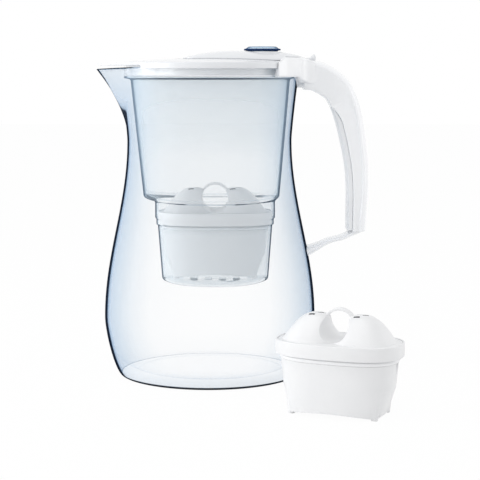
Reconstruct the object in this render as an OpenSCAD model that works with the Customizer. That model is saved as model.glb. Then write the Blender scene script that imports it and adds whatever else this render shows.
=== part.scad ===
// Water filter pitcher with a flip lid, a hanging funnel and two filter cartridges.
// Origin: centre of the jug's base on the table. +X towards the handle, +Z up.

/* [Jug] */
// Height of the jug's rim
rim_z = 257.5; // [240:0.5:270]
// Radius of the ring that the jug stands on
foot_r = 76; // [70:0.5:80]
// Largest radius of the belly
belly_r = 89; // [84:0.5:96]
// Height of the largest radius
belly_z = 47; // [35:1:60]
// Smallest radius at the waist
waist_r = 68.8; // [67.5:0.1:72]
// Height of the waist
waist_z = 198; // [185:1:205]
// Outer radius of the rim
rim_r = 75.3; // [74.5:0.1:78]
// Thickness of the jug's wall
jug_wall = 2.5; // [2:0.1:2.9]
// Thickness of the jug's floor above the table
floor_z = 6; // [5:0.5:9]
// Radius of the raised disc in the middle of the floor
floor_step_r = 48; // [30:1:54]
// How far the spout's tip stands out from the rim
spout_out = 19.4; // [12:0.2:26]
// Height at which the spout begins
spout_z = 205; // [200:1:220]
// How far the rim dips towards the spout's tip
spout_dip = 1.2; // [0:0.1:3]

/* [Handle] */
// Reach of the grip from the jug's axis
handle_reach = 133.2; // [126:0.2:142]
// Width of the grip
grip_w = 28; // [22:0.5:34]
// Thickness of the grip at its middle, seen from the side
grip_t = 17.8; // [15:0.2:22]
// Thickness of the inner grip cover
cover_t = 4.6; // [3:0.1:6]
// Depth of the channel along each side of the grip
channel_d = 1.1; // [0.4:0.1:2]
// Height at which the handle's foot meets the jug
foot_joint_z = 104.5; // [95:0.5:115]
// Half the angle that the handle's root wraps around the rim
root_wrap = 44; // [30:1:50]

/* [Funnel] */
// Half the width of the funnel's hopper at its top
hopper_a = 66.4; // [62:0.1:67]
// Half the depth of the funnel's hopper at its top
hopper_b = 56; // [48:0.5:60]
// How far the hopper narrows on each side to its floor
hopper_taper = 8.3; // [4:0.1:9]
// Height of the hopper's floor edge
hopper_z = 151.5; // [146:0.5:160]
// Thickness of the funnel's walls
funnel_wall = 1.7; // [1.2:0.1:2]
// Width of the lip that hangs on the jug's rim
lip_w = 3.4; // [2.9:0.1:3.8]
// Thickness of the lip
lip_t = 1.2; // [0.8:0.1:1.6]

/* [Lid] */
// Height of the lid's band at its edge
band_h = 5; // [4:0.1:6]
// Rise of the lid's crown above its edge
crown_h = 3.5; // [2:0.1:4.5]
// Thickness of the lid's plate
lid_t = 2.4; // [1.8:0.1:2.8]
// Length of the fill opening
fill_l = 68; // [50:1:70]
// Width of the fill opening
fill_w = 46; // [36:1:46]
// Thickness of the lid's tongue at the spout's tip
tongue_t = 1.7; // [1.2:0.1:2.4]

/* [Flip cover] */
// Length of the flip cover from its hinge edge to its tail
cover_l = 105.7; // [102:0.1:107]
// Half the width of the flip cover
cover_half_w = 31; // [27:0.5:34]
// Height of the cover's crest above the rim
crest_h = 13.8; // [12:0.1:16]
// Thickness of the flip cover
flip_t = 2; // [1.5:0.1:2.4]
// Distance of the hinge axis from the jug's axis, towards the spout
hinge_x = 24.5; // [22:0.5:27]
// Radius of the hinge pins
pin_r = 1.5; // [1.3:0.05:1.6]

/* [Reminder dial] */
// Radius of the dial
dial_r = 15.3; // [12:0.1:16.5]
// Height of the dial
dial_h = 3.6; // [3:0.1:5]
// Distance of the dial's centre from the jug's axis
dial_x = 44.2; // [40:0.2:48]
// Number of grip notches around the dial
dial_notches = 24; // [12:1:30]
// Radius of the dial's stem
stem_r = 3; // [2:0.1:4]

/* [Cartridge] */
// Half the length of the cartridge's flange
flange_a = 48.4; // [46:0.1:50]
// Half the width of the cartridge's flange
flange_b = 30.4; // [28:0.1:32]
// Height of the flange's underside above the feet
flange_z = 45; // [42:0.5:50]
// Height of the flange
flange_h = 10.5; // [8:0.5:13]
// How far the body stands in from the flange at the top
body_inset = 3.9; // [3.6:0.1:4.2]
// How far the body narrows on each side to its bottom
body_taper = 3.6; // [3:0.1:6]
// Wall of the cartridge
cartridge_wall = 1.5; // [1.1:0.1:1.8]
// Height of the two humps above the flange
hump_h = 19.5; // [15:0.5:22]
// Radius of the scoop between the humps
scoop_r = 11; // [9:0.2:12]
// Width of the lifting loop
loop_w = 5; // [4:0.5:8]
// Thickness of the lifting loop
loop_t = 2; // [1.5:0.1:2.6]
// Distance of the socket's centre from the jug's axis
socket_x = 4.6; // [2:0.1:6]
// Where the spare cartridge stands, towards the handle
spare_x = 100; // [60:1:140]
// Where the spare cartridge stands, in front of the jug
spare_y = -151; // [-200:1:-140]
// Turn of the spare cartridge
spare_turn = -23; // [-40:1:0]

/* [Fits] */
// Gap between loose pieces that lie on each other
seat_gap = 0.2; // [0.1:0.05:0.3]
// Gap between loose pieces side by side
side_gap = 0.4; // [0.3:0.05:0.5]
// Gap around a pin or stem that turns
turn_gap = 0.05; // [0.03:0.01:0.08]
// Gap between fixed pieces
fixed_gap = 0.12; // [0.08:0.01:0.2]

/* [Hidden] */
$fn = 96;
eps = 0.01;

// Jug
corner_n = 1.4;
neck_n = 1.2;
spout_n = 1.6;
jug_steps = 72;
under_z = 2.5;
under_r = foot_r - 15.5;
corner_h = 16;
corner_fill = 14;
floor_step_h = 1.2;
lug_half_w = 5;
lug_out = 4.8;
lug_h = 8;

// Levels where the lid and the funnel sit on the rim
lip_z = rim_z + seat_gap;
plate_z = lip_z + lip_t + seat_gap;
collar_r = rim_r - jug_wall - 1.6;
lip_r = collar_r + lip_w;
band_in_r = rim_r + 0.3;
band_out_r = band_in_r + 1.5;
band_z = rim_z - 1;
edge_z = band_z + band_h;
top_lug_z = band_z - lug_h - 2;
collar_h = 9;
collar_z = lip_z - collar_h;
skirt_r = collar_r - funnel_wall - side_gap;
skirt_t = 1.8;
skirt_z = collar_z + funnel_wall + side_gap;
spout_half_angle = 46;
tongue_in = 0.4;
tongue_lap = 1.5;
tongue_root_t = 2.5;

// Funnel
cartridge_n = 2.6;
hopper_n = 2.5;
hopper_x = 1.7;
floor_drop = 4.6;
socket_z = hopper_z - 5.5;
flange_seat_z = 127;
socket_n = cartridge_n;
socket_a = flange_a + side_gap;
socket_b = flange_b + side_gap;
low_socket_a = flange_a - body_inset + 2.1;
low_socket_b = flange_b - body_inset + 2.1;
socket_taper = 3.5;
socket_drop = 3.5;
socket_floor = flange_seat_z - flange_z - 1;
funnel_steps = 48;

// Cartridge
cartridge_steps = 40;
body_a = flange_a - body_inset;
body_b = flange_b - body_inset;
cut_z = 22;
cut_in = 6.5;
arch_h = 2.6;
seal_h = 3.2;
seal_w = 1.9;
groove = 0.5;
bed_z = 5;
fleece_t = 2;
cap_t = 1.6;
hump_x = 20;
hump_steps = 28;
scoop_z = flange_z + flange_h + scoop_r;

// Lid, flip cover and dial
hinge_z = edge_z + 0.8;
hinge_y = 19.2;
ear_t = 3.8;
ear_r = 2.3;
ear_foot_h = 7.6;
pocket_r = 3.7;
pocket_in = 13.6;
pocket_out = 25.2;
fill_land = 4.9;
cover_x = 15;
cover_steps = 48;
cover_edge = 0.8;
dome_n = 2.8;
cover_front = hinge_x - 3.3;
barrel_r = 2.3;
barrel_l = 5.2;
cover_mid = 35;
crest_z = rim_z + crest_h;
tail_z = 263.1;
tab_w = 15;
tab_out = 4.4;
seat_sink = 1.6;
seat_t = 1.6;
seat_r = dial_r + 1.4;
scale_t = 0.8;
scale_z = crest_z - seat_sink;
dial_z = scale_z + scale_t + seat_gap;
boss_h = 3.2;
boss_r = 6;
clip_t = 1.3;
clip_z = scale_z - boss_h - clip_t - seat_gap;
clip_r = 4.6;

// Smooth step from 0 to 1
function ease(t) = let (u = min(max(t, 0), 1)) u * u * (3 - 2 * u);

// Point of a superellipse with half axes a and b and power n
function oval_point(a, b, n, t) =
    [a * sign(cos(t)) * pow(abs(cos(t)), 2 / n), b * sign(sin(t)) * pow(abs(sin(t)), 2 / n)];

// Level ring of a superellipse whose front and back edges drop below its ends
function oval_ring(a, b, n, z, x = 0, drop = 0, steps = funnel_steps) =
    [for (i = [0:steps - 1])
        let (t = 360 * i / steps, p = oval_point(a, b, n, t))
        [p[0] + x, p[1], z - drop * pow(sin(t), 2)]];

// Mean of the points of a ring
function ring_centre(ring) = [for (k = [0:2]) (min([for (p = ring) p[k]]) + max([for (p = ring) p[k]])) / 2];

// One closed skin over rings of equal length, closed by a fan at each end
module skin(rings) {
    n = len(rings[0]);
    m = len(rings);
    points = concat([for (ring = rings) each ring], [ring_centre(rings[0]), ring_centre(rings[m - 1])]);
    sides = [for (j = [0:m - 2], i = [0:n - 1])
        let (a = j * n + i, b = j * n + (i + 1) % n)
        each [[a, a + n, b + n], [a, b + n, b]]];
    first = [for (i = [0:n - 1]) [i, (i + 1) % n, m * n]];
    last = [for (i = [0:n - 1]) [(m - 1) * n + (i + 1) % n, (m - 1) * n + i, m * n + 1]];
    polyhedron(points, concat(sides, first, last), convexity = 8);
}

// ---- Jug ----

// Radius of the jug's outside below the belly, above it, and at the neck
function foot_curve(z) =
    foot_r + (belly_r - foot_r) * pow(1 - pow(1 - z / belly_z, corner_n), 1 / corner_n);
function belly_curve(z) =
    belly_r - (belly_r - waist_r) * (1 - cos(180 * (z - belly_z) / (waist_z - belly_z))) / 2;
function neck_curve(z) =
    waist_r + (rim_r - waist_r) * pow((z - waist_z) / (rim_z - waist_z), neck_n);
function jug_r(z) = z <= belly_z ? foot_curve(z) : z <= waist_z ? belly_curve(z) : neck_curve(z);

// Radius of the jug's inside, with a thick corner at the floor
function inside_r(z) =
    jug_r(z) - jug_wall - corner_fill * pow(max(0, 1 - (z - floor_z) / corner_h), 2);

// Distance of the spout's tip from the axis at a height
function tip_r(z) =
    jug_r(z) + spout_out * pow(max(0, (z - spout_z) / (rim_z - spout_z)), spout_n);

// Radius of the neck at a height and an angle: a circle with two tangents to the tip
function neck_r(z, phi) =
    let (r = jug_r(z), wide = acos(r / tip_r(z)), off = abs(phi - 180))
    off >= wide ? r : r / cos(wide - off);

// Ring of the neck at a height, drawn in by a share of its radius
function neck_ring(z, share, dip = 0) =
    [for (i = [0:jug_steps - 1])
        let (phi = 360 * i / jug_steps, r = share * neck_r(z, phi))
        [r * cos(phi), r * sin(phi), z - dip * pow(max(0, 1 - abs(phi - 180) / 40), 2)]];

// Solid of the jug's round outside, grown by a gap
module jug_round(gap) {
    levels = concat([0, 1, 3, 7, 14, 24, 35], [for (z = [belly_z:10:waist_z - 4]) z],
        [for (z = [waist_z:8:rim_z - 3]) z], [rim_z]);
    rotate_extrude()
        polygon(concat([[0, 0]], [for (z = levels) [jug_r(z) + gap, z]], [[0, rim_z]]));
}

// Lug that the handle is pushed over
module handle_lug(r, z, gap) {
    translate([r - jug_wall / 2, -lug_half_w - gap, z - gap])
        cube([lug_out + jug_wall / 2 + gap, 2 * (lug_half_w + gap), lug_h + 2 * gap]);
}

module lower_jug() {
    outer = concat([0, 1, 3, 7, 14, 24, 35], [for (z = [belly_z:10:waist_z - 4]) z], [waist_z]);
    inner = concat([waist_z], [for (z = [waist_z - 10:-10:30]) z], [22, 17, 13, 10, 8, floor_z]);
    rotate_extrude()
        polygon(concat([[0, under_z], [under_r, under_z], [under_r + 3, 0]],
            [for (z = outer) [jug_r(z), z]],
            [for (z = inner) [inside_r(z), z]],
            [[floor_step_r + 1, floor_z], [floor_step_r, floor_z + floor_step_h],
            [0, floor_z + floor_step_h]]));
}

module neck() {
    levels = [for (k = [0:9]) waist_z + (rim_z - waist_z) * k / 9];
    inner = (jug_r(waist_z) - jug_wall) / jug_r(waist_z);
    difference() {
        skin(concat([neck_ring(waist_z - eps, 0.9999)],
            [for (z = levels) if (z > waist_z && z < rim_z) neck_ring(z, 1)],
            [neck_ring(rim_z, 1, spout_dip)]));
        skin(concat([neck_ring(waist_z - 1, inner)],
            [for (z = levels) if (z > waist_z && z < rim_z) neck_ring(z, 1 - jug_wall / jug_r(z))],
            [neck_ring(rim_z + 1, 1 - jug_wall / rim_r)]));
    }
}

module jug_body() {
    color([0.75, 0.87, 0.95, 0.45]) union() {
        lower_jug();
        neck();
        handle_lug(jug_r(top_lug_z), top_lug_z, 0);
        handle_lug(jug_r(foot_joint_z), foot_joint_z - lug_h / 2, 0);
    }
}

// ---- Handle ----

// Stations along the handle: x as a share of the way from the rim out to the grip, z as a share
// of the way up from the foot's joint to the rim, and thickness as a share of the grip's
reach = handle_reach - grip_t / 2;
function stations(list) = [for (p = list)
    [rim_r + (reach - rim_r) * p[0], foot_joint_z + (rim_z - foot_joint_z) * p[1], grip_t * p[2]]];
grip_path = stations([[0.086, 0.961, 1.39], [0.3, 0.952, 1.42], [0.592, 0.895, 1.37],
    [0.729, 0.83, 1.33], [0.831, 0.739, 1.28], [0.918, 0.605, 1.17], [0.982, 0.467, 1.08],
    [1, 0.33, 1], [0.984, 0.186, 0.92], [0.98, 0.108, 0.89]]);
foot_path = stations([[1.04, 0.11, 0.28], [0.878, 0.088, 0.36], [0.749, 0.066, 0.344],
    [0.504, 0.045, 0.344], [0.3, 0.0144, 0.444], [0.096, -0.013, 0.583]]);
grip_stations = 30;
cover_from = 0.36;
cover_to = 0.985;
root_top_z = rim_z + 8.3;

// Catmull-Rom curve through a list of points, t from 0 to 1
function along(p, t) =
    let (s = min(max(t, 0), 1) * (len(p) - 1), i = min(floor(s), len(p) - 2), u = s - i,
        a = p[max(i - 1, 0)], b = p[i], c = p[i + 1], d = p[min(i + 2, len(p) - 1)])
    0.5 * (2 * b + (c - a) * u + (2 * a - 5 * b + 4 * c - d) * u * u
        + (3 * b - a - 3 * c + d) * u * u * u);

// Direction across a path, away from the jug
function across(p, t) =
    let (d = along(p, t + 0.01) - along(p, t - 0.01), l = norm([d[0], d[1]]))
    [-d[1] / l, d[0] / l];

// Places a section point (y, n) at a station: n runs across the path
function placed(p, t, point) =
    let (c = along(p, t), n = across(p, t)) [c[0] + n[0] * point[1], point[0], c[1] + n[1] * point[1]];

// Thickness of the grip cover at a station
function cover_depth(t) = t < cover_from ? 0 : cover_t * (0.3 + 0.7 * ease((t - cover_from) / 0.12));

// Half width of the handle, wider at its root
function handle_half_w(t) = grip_w / 2 + 3 * (1 - ease(t / 0.35));

// Half section of the shell from the cover up to the rounded back
function shell_half(t) =
    let (w = handle_half_w(t), h = along(grip_path, t)[2] / 2, low = cover_depth(t) - h,
        d = channel_d * ease((t - 0.28) / 0.2), top = h - 5)
    concat([[w - 2.2, low], [w - 0.5, low + 0.8], [w, low + 2], [w - d, low + 3],
        [w - d, top - 1], [w, top]],
        [for (k = [1:4]) [w * pow(cos(k * 21), 0.7), top + (h - top) * sin(k * 21)]]);

// Half section of the grip cover
function cover_half(t) =
    let (w = handle_half_w(t) - 1, h = along(grip_path, t)[2] / 2, low = -h, high = cover_depth(t) - h)
    [[w - 1.4, high], [w, high - 0.5], [w, low + 2], [w - 1.2, low + 0.6], [w - 4, low]];

// Whole ring from a half section
function both_sides(half) =
    concat(half, [for (i = [len(half) - 1:-1:0]) [-half[i][0], half[i][1]]]);

module grip_shell() {
    skin([for (k = [0:grip_stations]) let (t = k / grip_stations)
        [for (q = both_sides(shell_half(t))) placed(grip_path, t, q)]]);
}

module handle_foot() {
    skin([for (k = [0:8]) let (t = k / 8, c = along(foot_path, t))
        [for (i = [0:15]) let (q = oval_point(10.5 + 2.5 * t, c[2] / 2, 3.2, 360 * i / 16))
            placed(foot_path, t, q)]]);
}

// Section of the root at an angle around the rim: thin at its ends, flared into the grip,
// stepped inside to clear the lid's band and to lie on the jug
function root_ring(phi) =
    let (u = abs(phi) / root_wrap, near = ease((0.66 - u) / 0.56),
        out = band_out_r + side_gap + 1.6 + 9 * near * near,
        top = edge_z + 0.4 + (root_top_z - edge_z - 0.4) * ease((1 - u) / 0.14),
        low = band_z - 6.9 - 9 * ease((0.5 - u) / 0.42),
        in = band_out_r + side_gap, step = band_z - side_gap,
        round_r = 1.4, h = (top - low) / 2)
    [for (q = concat(
        [[jug_r(step) + fixed_gap, step], [in, step], [in, top - 0.5], [in + 0.5, top]],
        [for (a = [60, 20, -20, -60]) [out - round_r + round_r * cos(a), (top + low) / 2
            + sign(a) * (h - round_r) + round_r * sin(a)]],
        [[jug_r(low) + fixed_gap, low]]))
        [q[0] * cos(phi), q[0] * sin(phi), q[1]]];

module handle_root() {
    skin([for (k = [-12:12]) root_ring(root_wrap * k / 12)]);
}

module handle_shell() {
    groove_w = tab_w / 2 + 6;
    groove_x = collar_r - 1.2;
    groove_end = cover_l - cover_front + tab_out + 2.6;
    color("white") difference() {
        union() {
            difference() {
                handle_root();
                handle_lug(jug_r(top_lug_z), top_lug_z, fixed_gap);
            }
            grip_shell();
            difference() {
                handle_foot();
                jug_round(fixed_gap);
                handle_lug(jug_r(foot_joint_z), foot_joint_z - lug_h / 2, fixed_gap);
            }
        }
        translate([groove_x, -groove_w, tail_z - side_gap])
            cube([groove_end - groove_x, 2 * groove_w, crest_h]);
    }
}

module handle_grip_cover() {
    color("whitesmoke")
        skin([for (k = [0:20]) let (t = cover_from + (cover_to - cover_from) * k / 20)
            [for (q = both_sides(cover_half(t))) placed(grip_path, t, q - [0, 0.08])]]);
}

// ---- Funnel ----

// Ring of the lip: round, and cut back at the spout
function lip_ring(r, z) =
    [for (i = [0:funnel_steps - 1]) let (t = 360 * i / funnel_steps,
        q = abs(t - 180) < spout_half_angle ? collar_r : r)
        [q * cos(t), q * sin(t), z]];

module funnel() {
    w = funnel_wall;
    bottom = hopper_a - hopper_taper;
    depth = hopper_b - hopper_taper + 1;
    color([0.9, 0.94, 0.96, 0.6]) difference() {
        skin([
            oval_ring(low_socket_a - socket_taper + w - 1.5, low_socket_b - socket_taper + w - 1.5,
                socket_n, socket_floor - w, socket_x, socket_drop),
            oval_ring(low_socket_a - socket_taper + w, low_socket_b - socket_taper + w,
                socket_n, socket_floor - w + 1.5, socket_x, socket_drop),
            oval_ring(low_socket_a + w, low_socket_b + w, socket_n, flange_seat_z - 1, socket_x),
            oval_ring(socket_a + 0.7, socket_b + 0.7, socket_n, flange_seat_z - 0.5, socket_x),
            oval_ring(socket_a + 0.7, socket_b + 0.7, socket_n, flange_seat_z + 4, socket_x),
            oval_ring(socket_a + w, socket_b + w, socket_n, socket_z, socket_x),
            oval_ring(bottom - 1, depth - 1, hopper_n, hopper_z - 1.4, hopper_x, floor_drop),
            oval_ring(bottom, depth, hopper_n, hopper_z, hopper_x, floor_drop),
            oval_ring(hopper_a, hopper_b, hopper_n, collar_z - 1, hopper_x / 2),
            oval_ring(collar_r, collar_r, 2, collar_z),
            oval_ring(collar_r, collar_r, 2, lip_z),
            lip_ring(lip_r, lip_z),
            lip_ring(lip_r, lip_z + lip_t),
            oval_ring(collar_r - w, collar_r - w, 2, lip_z + lip_t),
            oval_ring(collar_r - w, collar_r - w, 2, collar_z + w),
            oval_ring(hopper_a - w, hopper_b - w, hopper_n, collar_z + w - 1, hopper_x / 2),
            oval_ring(bottom - w, depth - w, hopper_n, hopper_z + w, hopper_x, floor_drop),
            oval_ring(socket_a, socket_b, socket_n, socket_z + w, socket_x),
            oval_ring(socket_a, socket_b, socket_n, flange_seat_z - seat_gap, socket_x),
            oval_ring(low_socket_a, low_socket_b, socket_n, flange_seat_z - seat_gap - eps, socket_x),
            oval_ring(low_socket_a - socket_taper, low_socket_b - socket_taper,
                socket_n, socket_floor, socket_x, socket_drop)]);
        for (i = [-2:2])
            translate([socket_x + i * 12 - 3, -7, socket_floor - 10]) cube([6, 14, 20]);
    }
}

// ---- Lid ----

// Height of the lid's crown at a radius
function crown_z(r) = edge_z + crown_h * (1 - pow(r / band_out_r, 2));

module lid_round() {
    radii = [0, 15, 30, 45, 60, 70];
    rotate_extrude()
        polygon(concat(
            [for (r = radii) [r, crown_z(r)]],
            [[band_out_r - 1.2, crown_z(band_out_r - 1.2)], [band_out_r - 0.3, edge_z - 0.6],
            [band_out_r, edge_z - 1.6], [band_out_r, band_z], [band_in_r, band_z],
            [band_in_r, plate_z], [skirt_r, plate_z], [skirt_r, skirt_z],
            [skirt_r - skirt_t, skirt_z]],
            [for (i = [len(radii) - 2:-1:0]) [radii[i], crown_z(radii[i]) - lid_t]]));
}

// Cuts the outer band away where the spout opens
module spout_notch() {
    r = collar_r + 1.6;
    difference() {
        translate([0, 0, band_z - 1]) linear_extrude(band_h + 4)
            polygon([[0, 0], [-120, -120 * tan(spout_half_angle)], [-120, 120 * tan(spout_half_angle)]]);
        cylinder(r = r, h = 400);
    }
}

// Thin tongue that runs out over the spout, along the neck's outline
module spout_tongue() {
    out = tip_r(rim_z);
    half = spout_half_angle + tongue_lap;
    angles = [180 - half:1:180 + half];
    outer = [for (phi = angles) (neck_r(rim_z, phi) - tongue_in) * [cos(phi), sin(phi)]];
    inner = [for (phi = angles) collar_r * [cos(phi), sin(phi)]];
    top = plate_z + tongue_root_t;
    intersection() {
        translate([0, 0, plate_z]) linear_extrude(tongue_root_t)
            polygon(concat(outer, [for (i = [len(inner) - 1:-1:0]) inner[i]]));
        translate([0, out, 0]) rotate([90, 0, 0]) linear_extrude(2 * out)
            polygon([[-out, plate_z - 1], [-out, plate_z + tongue_t], [-collar_r, top], [-collar_r, top + 1],
                [0, top + 1], [0, plate_z - 1]]);
    }
}

module hinge_ear(side) {
    y = side > 0 ? hinge_y + 0.2 : -hinge_y - 0.2 - ear_t;
    foot_z = hinge_z - ear_foot_h;
    difference() {
        union() {
            translate([-hinge_x, y, hinge_z]) rotate([-90, 0, 0]) cylinder(r = ear_r, h = ear_t);
            translate([-hinge_x - 1.6, y, foot_z]) cube([3.2, ear_t, ear_foot_h]);
            translate([-hinge_x - 9, y, foot_z]) cube([10.6, ear_t, 2.2]);
            translate([-hinge_x - 9, y, foot_z]) cube([2.4, ear_t, edge_z + 2 - foot_z]);
        }
        translate([-hinge_x, y - 1, hinge_z]) rotate([-90, 0, 0])
            cylinder(r = pin_r + turn_gap, h = ear_t + 2);
    }
}

// Pocket in the lid for one ear, knuckle and its arm
module hinge_pocket() {
    translate([-hinge_x, pocket_in, hinge_z]) rotate([-90, 0, 0])
        cylinder(r = pocket_r, h = pocket_out - pocket_in);
    translate([-hinge_x, pocket_in, hinge_z - pocket_r])
        cube([hinge_x - cover_front + fill_land + eps, hinge_y + side_gap - pocket_in, pocket_r + band_h]);
}

module lid_shell() {
    front = fill_land - cover_front;
    bottom = crown_z(band_out_r) - 2 * lid_t;
    through = crest_h + band_h;
    color("white") {
        difference() {
            lid_round();
            spout_notch();
            translate([front, -fill_w / 2, bottom]) cube([fill_l - fill_w / 2, fill_w, through]);
            translate([front + fill_l - fill_w / 2, 0, bottom]) cylinder(d = fill_w, h = through);
            for (side = [0, 1])
                mirror([0, side, 0]) hinge_pocket();
        }
        spout_tongue();
        hinge_ear(1);
        hinge_ear(-1);
    }
}

// ---- Flip cover ----

// Point of the cover's plan: boxy towards the hinge, tapered towards the tail
function cover_point(t) =
    let (tail = cos(t) > 0, n = tail ? 1.75 : 5,
        l = tail ? cover_l - cover_front - cover_x : cover_front + cover_x,
        p = oval_point(l, cover_half_w, n, t))
    [p[0] + cover_x, p[1]];

// Level on which the cover's edge lies: just above the lid, or above the handle's root
function cover_base(x, y) = max(crown_z(norm([x, y])) + seat_gap + 0.1, tail_z);

// Ring of the cover at a share s of its plan, lifted by a height or domed
function cover_ring(s, lift, domed) =
    [for (i = [0:cover_steps - 1])
        let (p = cover_point(360 * i / cover_steps), x = cover_mid + (p[0] - cover_mid) * s, y = p[1] * s,
            base = cover_base(x, y))
        [x, y, base + lift + (domed ? (crest_z - base - cover_edge) * (1 - pow(s, dome_n)) : 0)]];

module flip_skin() {
    skin(concat(
        [cover_ring(1, 0, false), cover_ring(1, cover_edge, false)],
        [for (s = [0.95, 0.88, 0.78, 0.64, 0.45, 0.2]) cover_ring(s, cover_edge, true)]));
}

module flip_hollow() {
    inner = 1 - flip_t / cover_half_w;
    skin(concat([cover_ring(inner, -1, false)],
        [for (s = [0.9, 0.8, 0.66, 0.45, 0.2]) cover_ring(s * inner, cover_edge - flip_t, true)]));
}

module thumb_tab() {
    x = cover_l - cover_front + tab_out - 6.4;
    translate([0, tab_w / 2, 0]) rotate([90, 0, 0]) linear_extrude(tab_w)
        polygon([[x, tail_z], [x + 6.2, tail_z], [x + 6.4, tail_z + 2.6], [x + 5.6, tail_z + 4.8],
            [x + 4.4, tail_z + 5.4], [x + 3.2, tail_z + 4.6], [x + 2, tail_z + 2.4], [x, tail_z + 1.8]]);
}

// Knuckle, pin and arm on one side of the cover; the arm runs under the cover's front wall
module hinge_knuckle() {
    y = hinge_y - barrel_l;
    arm_l = hinge_x - cover_front + 3;
    translate([-hinge_x, y, hinge_z]) rotate([-90, 0, 0]) {
        cylinder(r = barrel_r, h = barrel_l);
        cylinder(r = pin_r, h = barrel_l + ear_t + 0.3);
    }
    translate([-hinge_x, y, hinge_z - 0.4]) cube([arm_l, barrel_l, crown_z(hinge_x) - hinge_z + 0.3]);
    translate([0.3 - cover_front, y, hinge_z - 0.4])
        cube([2.6, barrel_l, crown_z(cover_front) + seat_gap + cover_edge - hinge_z]);
}

module flip_cover() {
    color("white") difference() {
        union() {
            difference() {
                flip_skin();
                flip_hollow();
            }
            thumb_tab();
            for (side = [0, 1])
                mirror([0, side, 0]) hinge_knuckle();
            translate([dial_x, 0, scale_z - boss_h]) cylinder(r = boss_r, h = boss_h);
            translate([dial_x, 0, scale_z - seat_t]) cylinder(r = seat_r, h = seat_t);
        }
        translate([dial_x, 0, scale_z]) cylinder(r = seat_r, h = crest_h);
        translate([dial_x, 0, clip_z]) cylinder(r = stem_r + turn_gap, h = crest_h);
    }
}

// ---- Reminder dial ----

module dial_scale() {
    color("white") translate([dial_x, 0, scale_z]) difference() {
        cylinder(r = dial_r + 0.9, h = scale_t);
        translate([0, 0, -1]) cylinder(r = stem_r + side_gap, h = 5);
    }
}

module indicator_dial() {
    rim_h = 1.3;
    color([0.35, 0.6, 0.85, 0.6]) translate([dial_x, 0, 0]) {
        difference() {
            union() {
                translate([0, 0, dial_z]) cylinder(r1 = dial_r - 2.6, r2 = dial_r - 1.6, h = dial_h - rim_h);
                translate([0, 0, dial_z + dial_h - rim_h - 0.4]) cylinder(r = dial_r, h = rim_h);
                translate([0, 0, dial_z + dial_h - 0.5])
                    cylinder(r1 = dial_r - 1.2, r2 = dial_r - 4, h = 0.9);
            }
            for (k = [0:dial_notches - 1])
                rotate(360 * k / dial_notches) translate([dial_r + 0.35, 0, dial_z])
                    cylinder(r = 0.9, h = dial_h);
        }
        translate([0, 0, clip_z]) cylinder(r = stem_r, h = dial_z + 1 - clip_z);
    }
}

module dial_clip() {
    color("gainsboro") translate([dial_x, 0, clip_z]) difference() {
        cylinder(r = clip_r, h = clip_t);
        translate([0, 0, -1]) cylinder(r = stem_r + eps, h = 4);
    }
}

// ---- Cartridge ----

// Ring of the cartridge, with its ends cut by a slope near the bottom
function cartridge_ring(a, b, z, inset = 0, arch = 0) =
    let (end = a - cut_in * max(0, 1 - z / cut_z))
    [for (i = [0:cartridge_steps - 1])
        let (p = oval_point(a, b, cartridge_n, 360 * i / cartridge_steps),
            x = sign(p[0]) * min(abs(p[0]), end - (z < cut_z ? inset : 0)))
        [x, p[1], z + arch * (1 - pow(x / end, 2))]];

module body_solid() {
    w = cartridge_wall;
    low_a = body_a - body_taper;
    low_b = body_b - body_taper + 1;
    mid = (cut_z - 1) / flange_z;
    skin([
        cartridge_ring(low_a, low_b, 1, 0, arch_h),
        cartridge_ring(body_a - body_taper * (1 - mid), body_b - (body_taper - 1) * (1 - mid), cut_z),
        cartridge_ring(body_a, body_b, flange_z - seal_h - 0.8),
        cartridge_ring(body_a - groove, body_b - groove, flange_z - seal_h - 0.7),
        cartridge_ring(body_a - groove, body_b - groove, flange_z),
        cartridge_ring(flange_a, flange_b, flange_z + eps),
        cartridge_ring(flange_a, flange_b, flange_z + flange_h - 0.5),
        cartridge_ring(flange_a - 0.5, flange_b - 0.5, flange_z + flange_h),
        cartridge_ring(flange_a - w, flange_b - w, flange_z + flange_h),
        cartridge_ring(flange_a - w, flange_b - w, flange_z + flange_h - 2),
        cartridge_ring(body_a - groove - w, body_b - groove - w, flange_z + flange_h - 2 - eps),
        cartridge_ring(body_a - groove - w, body_b - groove - w, flange_z - seal_h - 1.2),
        cartridge_ring(body_a - body_taper * (1 - mid) - w, body_b - (body_taper - 1) * (1 - mid) - w, cut_z),
        cartridge_ring(low_a - w, low_b - w, bed_z, 1)]);
}

module a_cartridge_body() {
    difference() {
        union() {
            body_solid();
            for (x = [-1, 1], y = [-1, 1])
                translate([x * (body_a - body_taper - cut_in - 2), y * (body_b - body_taper - 8), 0])
                    cylinder(r = 2.6, h = 3);
        }
        for (i = [-2:2])
            translate([i * 11 - 2, -12, -1]) cube([4, 24, 10]);
        for (side = [-1, 1])
            translate([side * (body_a + 0.4) - 1.4, -3, cut_z + 2])
                cube([2.8, 6, flange_z - seal_h - cut_z - 3]);
    }
}

// One hump: ovals that shrink and lean towards the middle as they rise
module hump(side) {
    base = flange_z + flange_h - 0.6;
    levels = [[0, 23.5, 23], [0.22, 19.5, 20], [0.5, 15, 15], [0.75, 11.5, 10], [0.92, 8, 6.4], [1, 5, 3.6]];
    skin([for (l = levels)
        [for (i = [0:hump_steps - 1])
            let (p = oval_point(l[1], l[2], 2.3, 360 * i / hump_steps))
            [p[0] + side * (hump_x - 2.5 * l[0]), p[1], base + (hump_h + 0.6) * l[0]]]]);
}

// Thin oval ring or plate, level from z upwards
module oval_plate(a, b, z, h) {
    translate([0, 0, z]) linear_extrude(h)
        polygon([for (i = [0:cartridge_steps - 1]) oval_point(a, b, cartridge_n, 360 * i / cartridge_steps)]);
}

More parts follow.
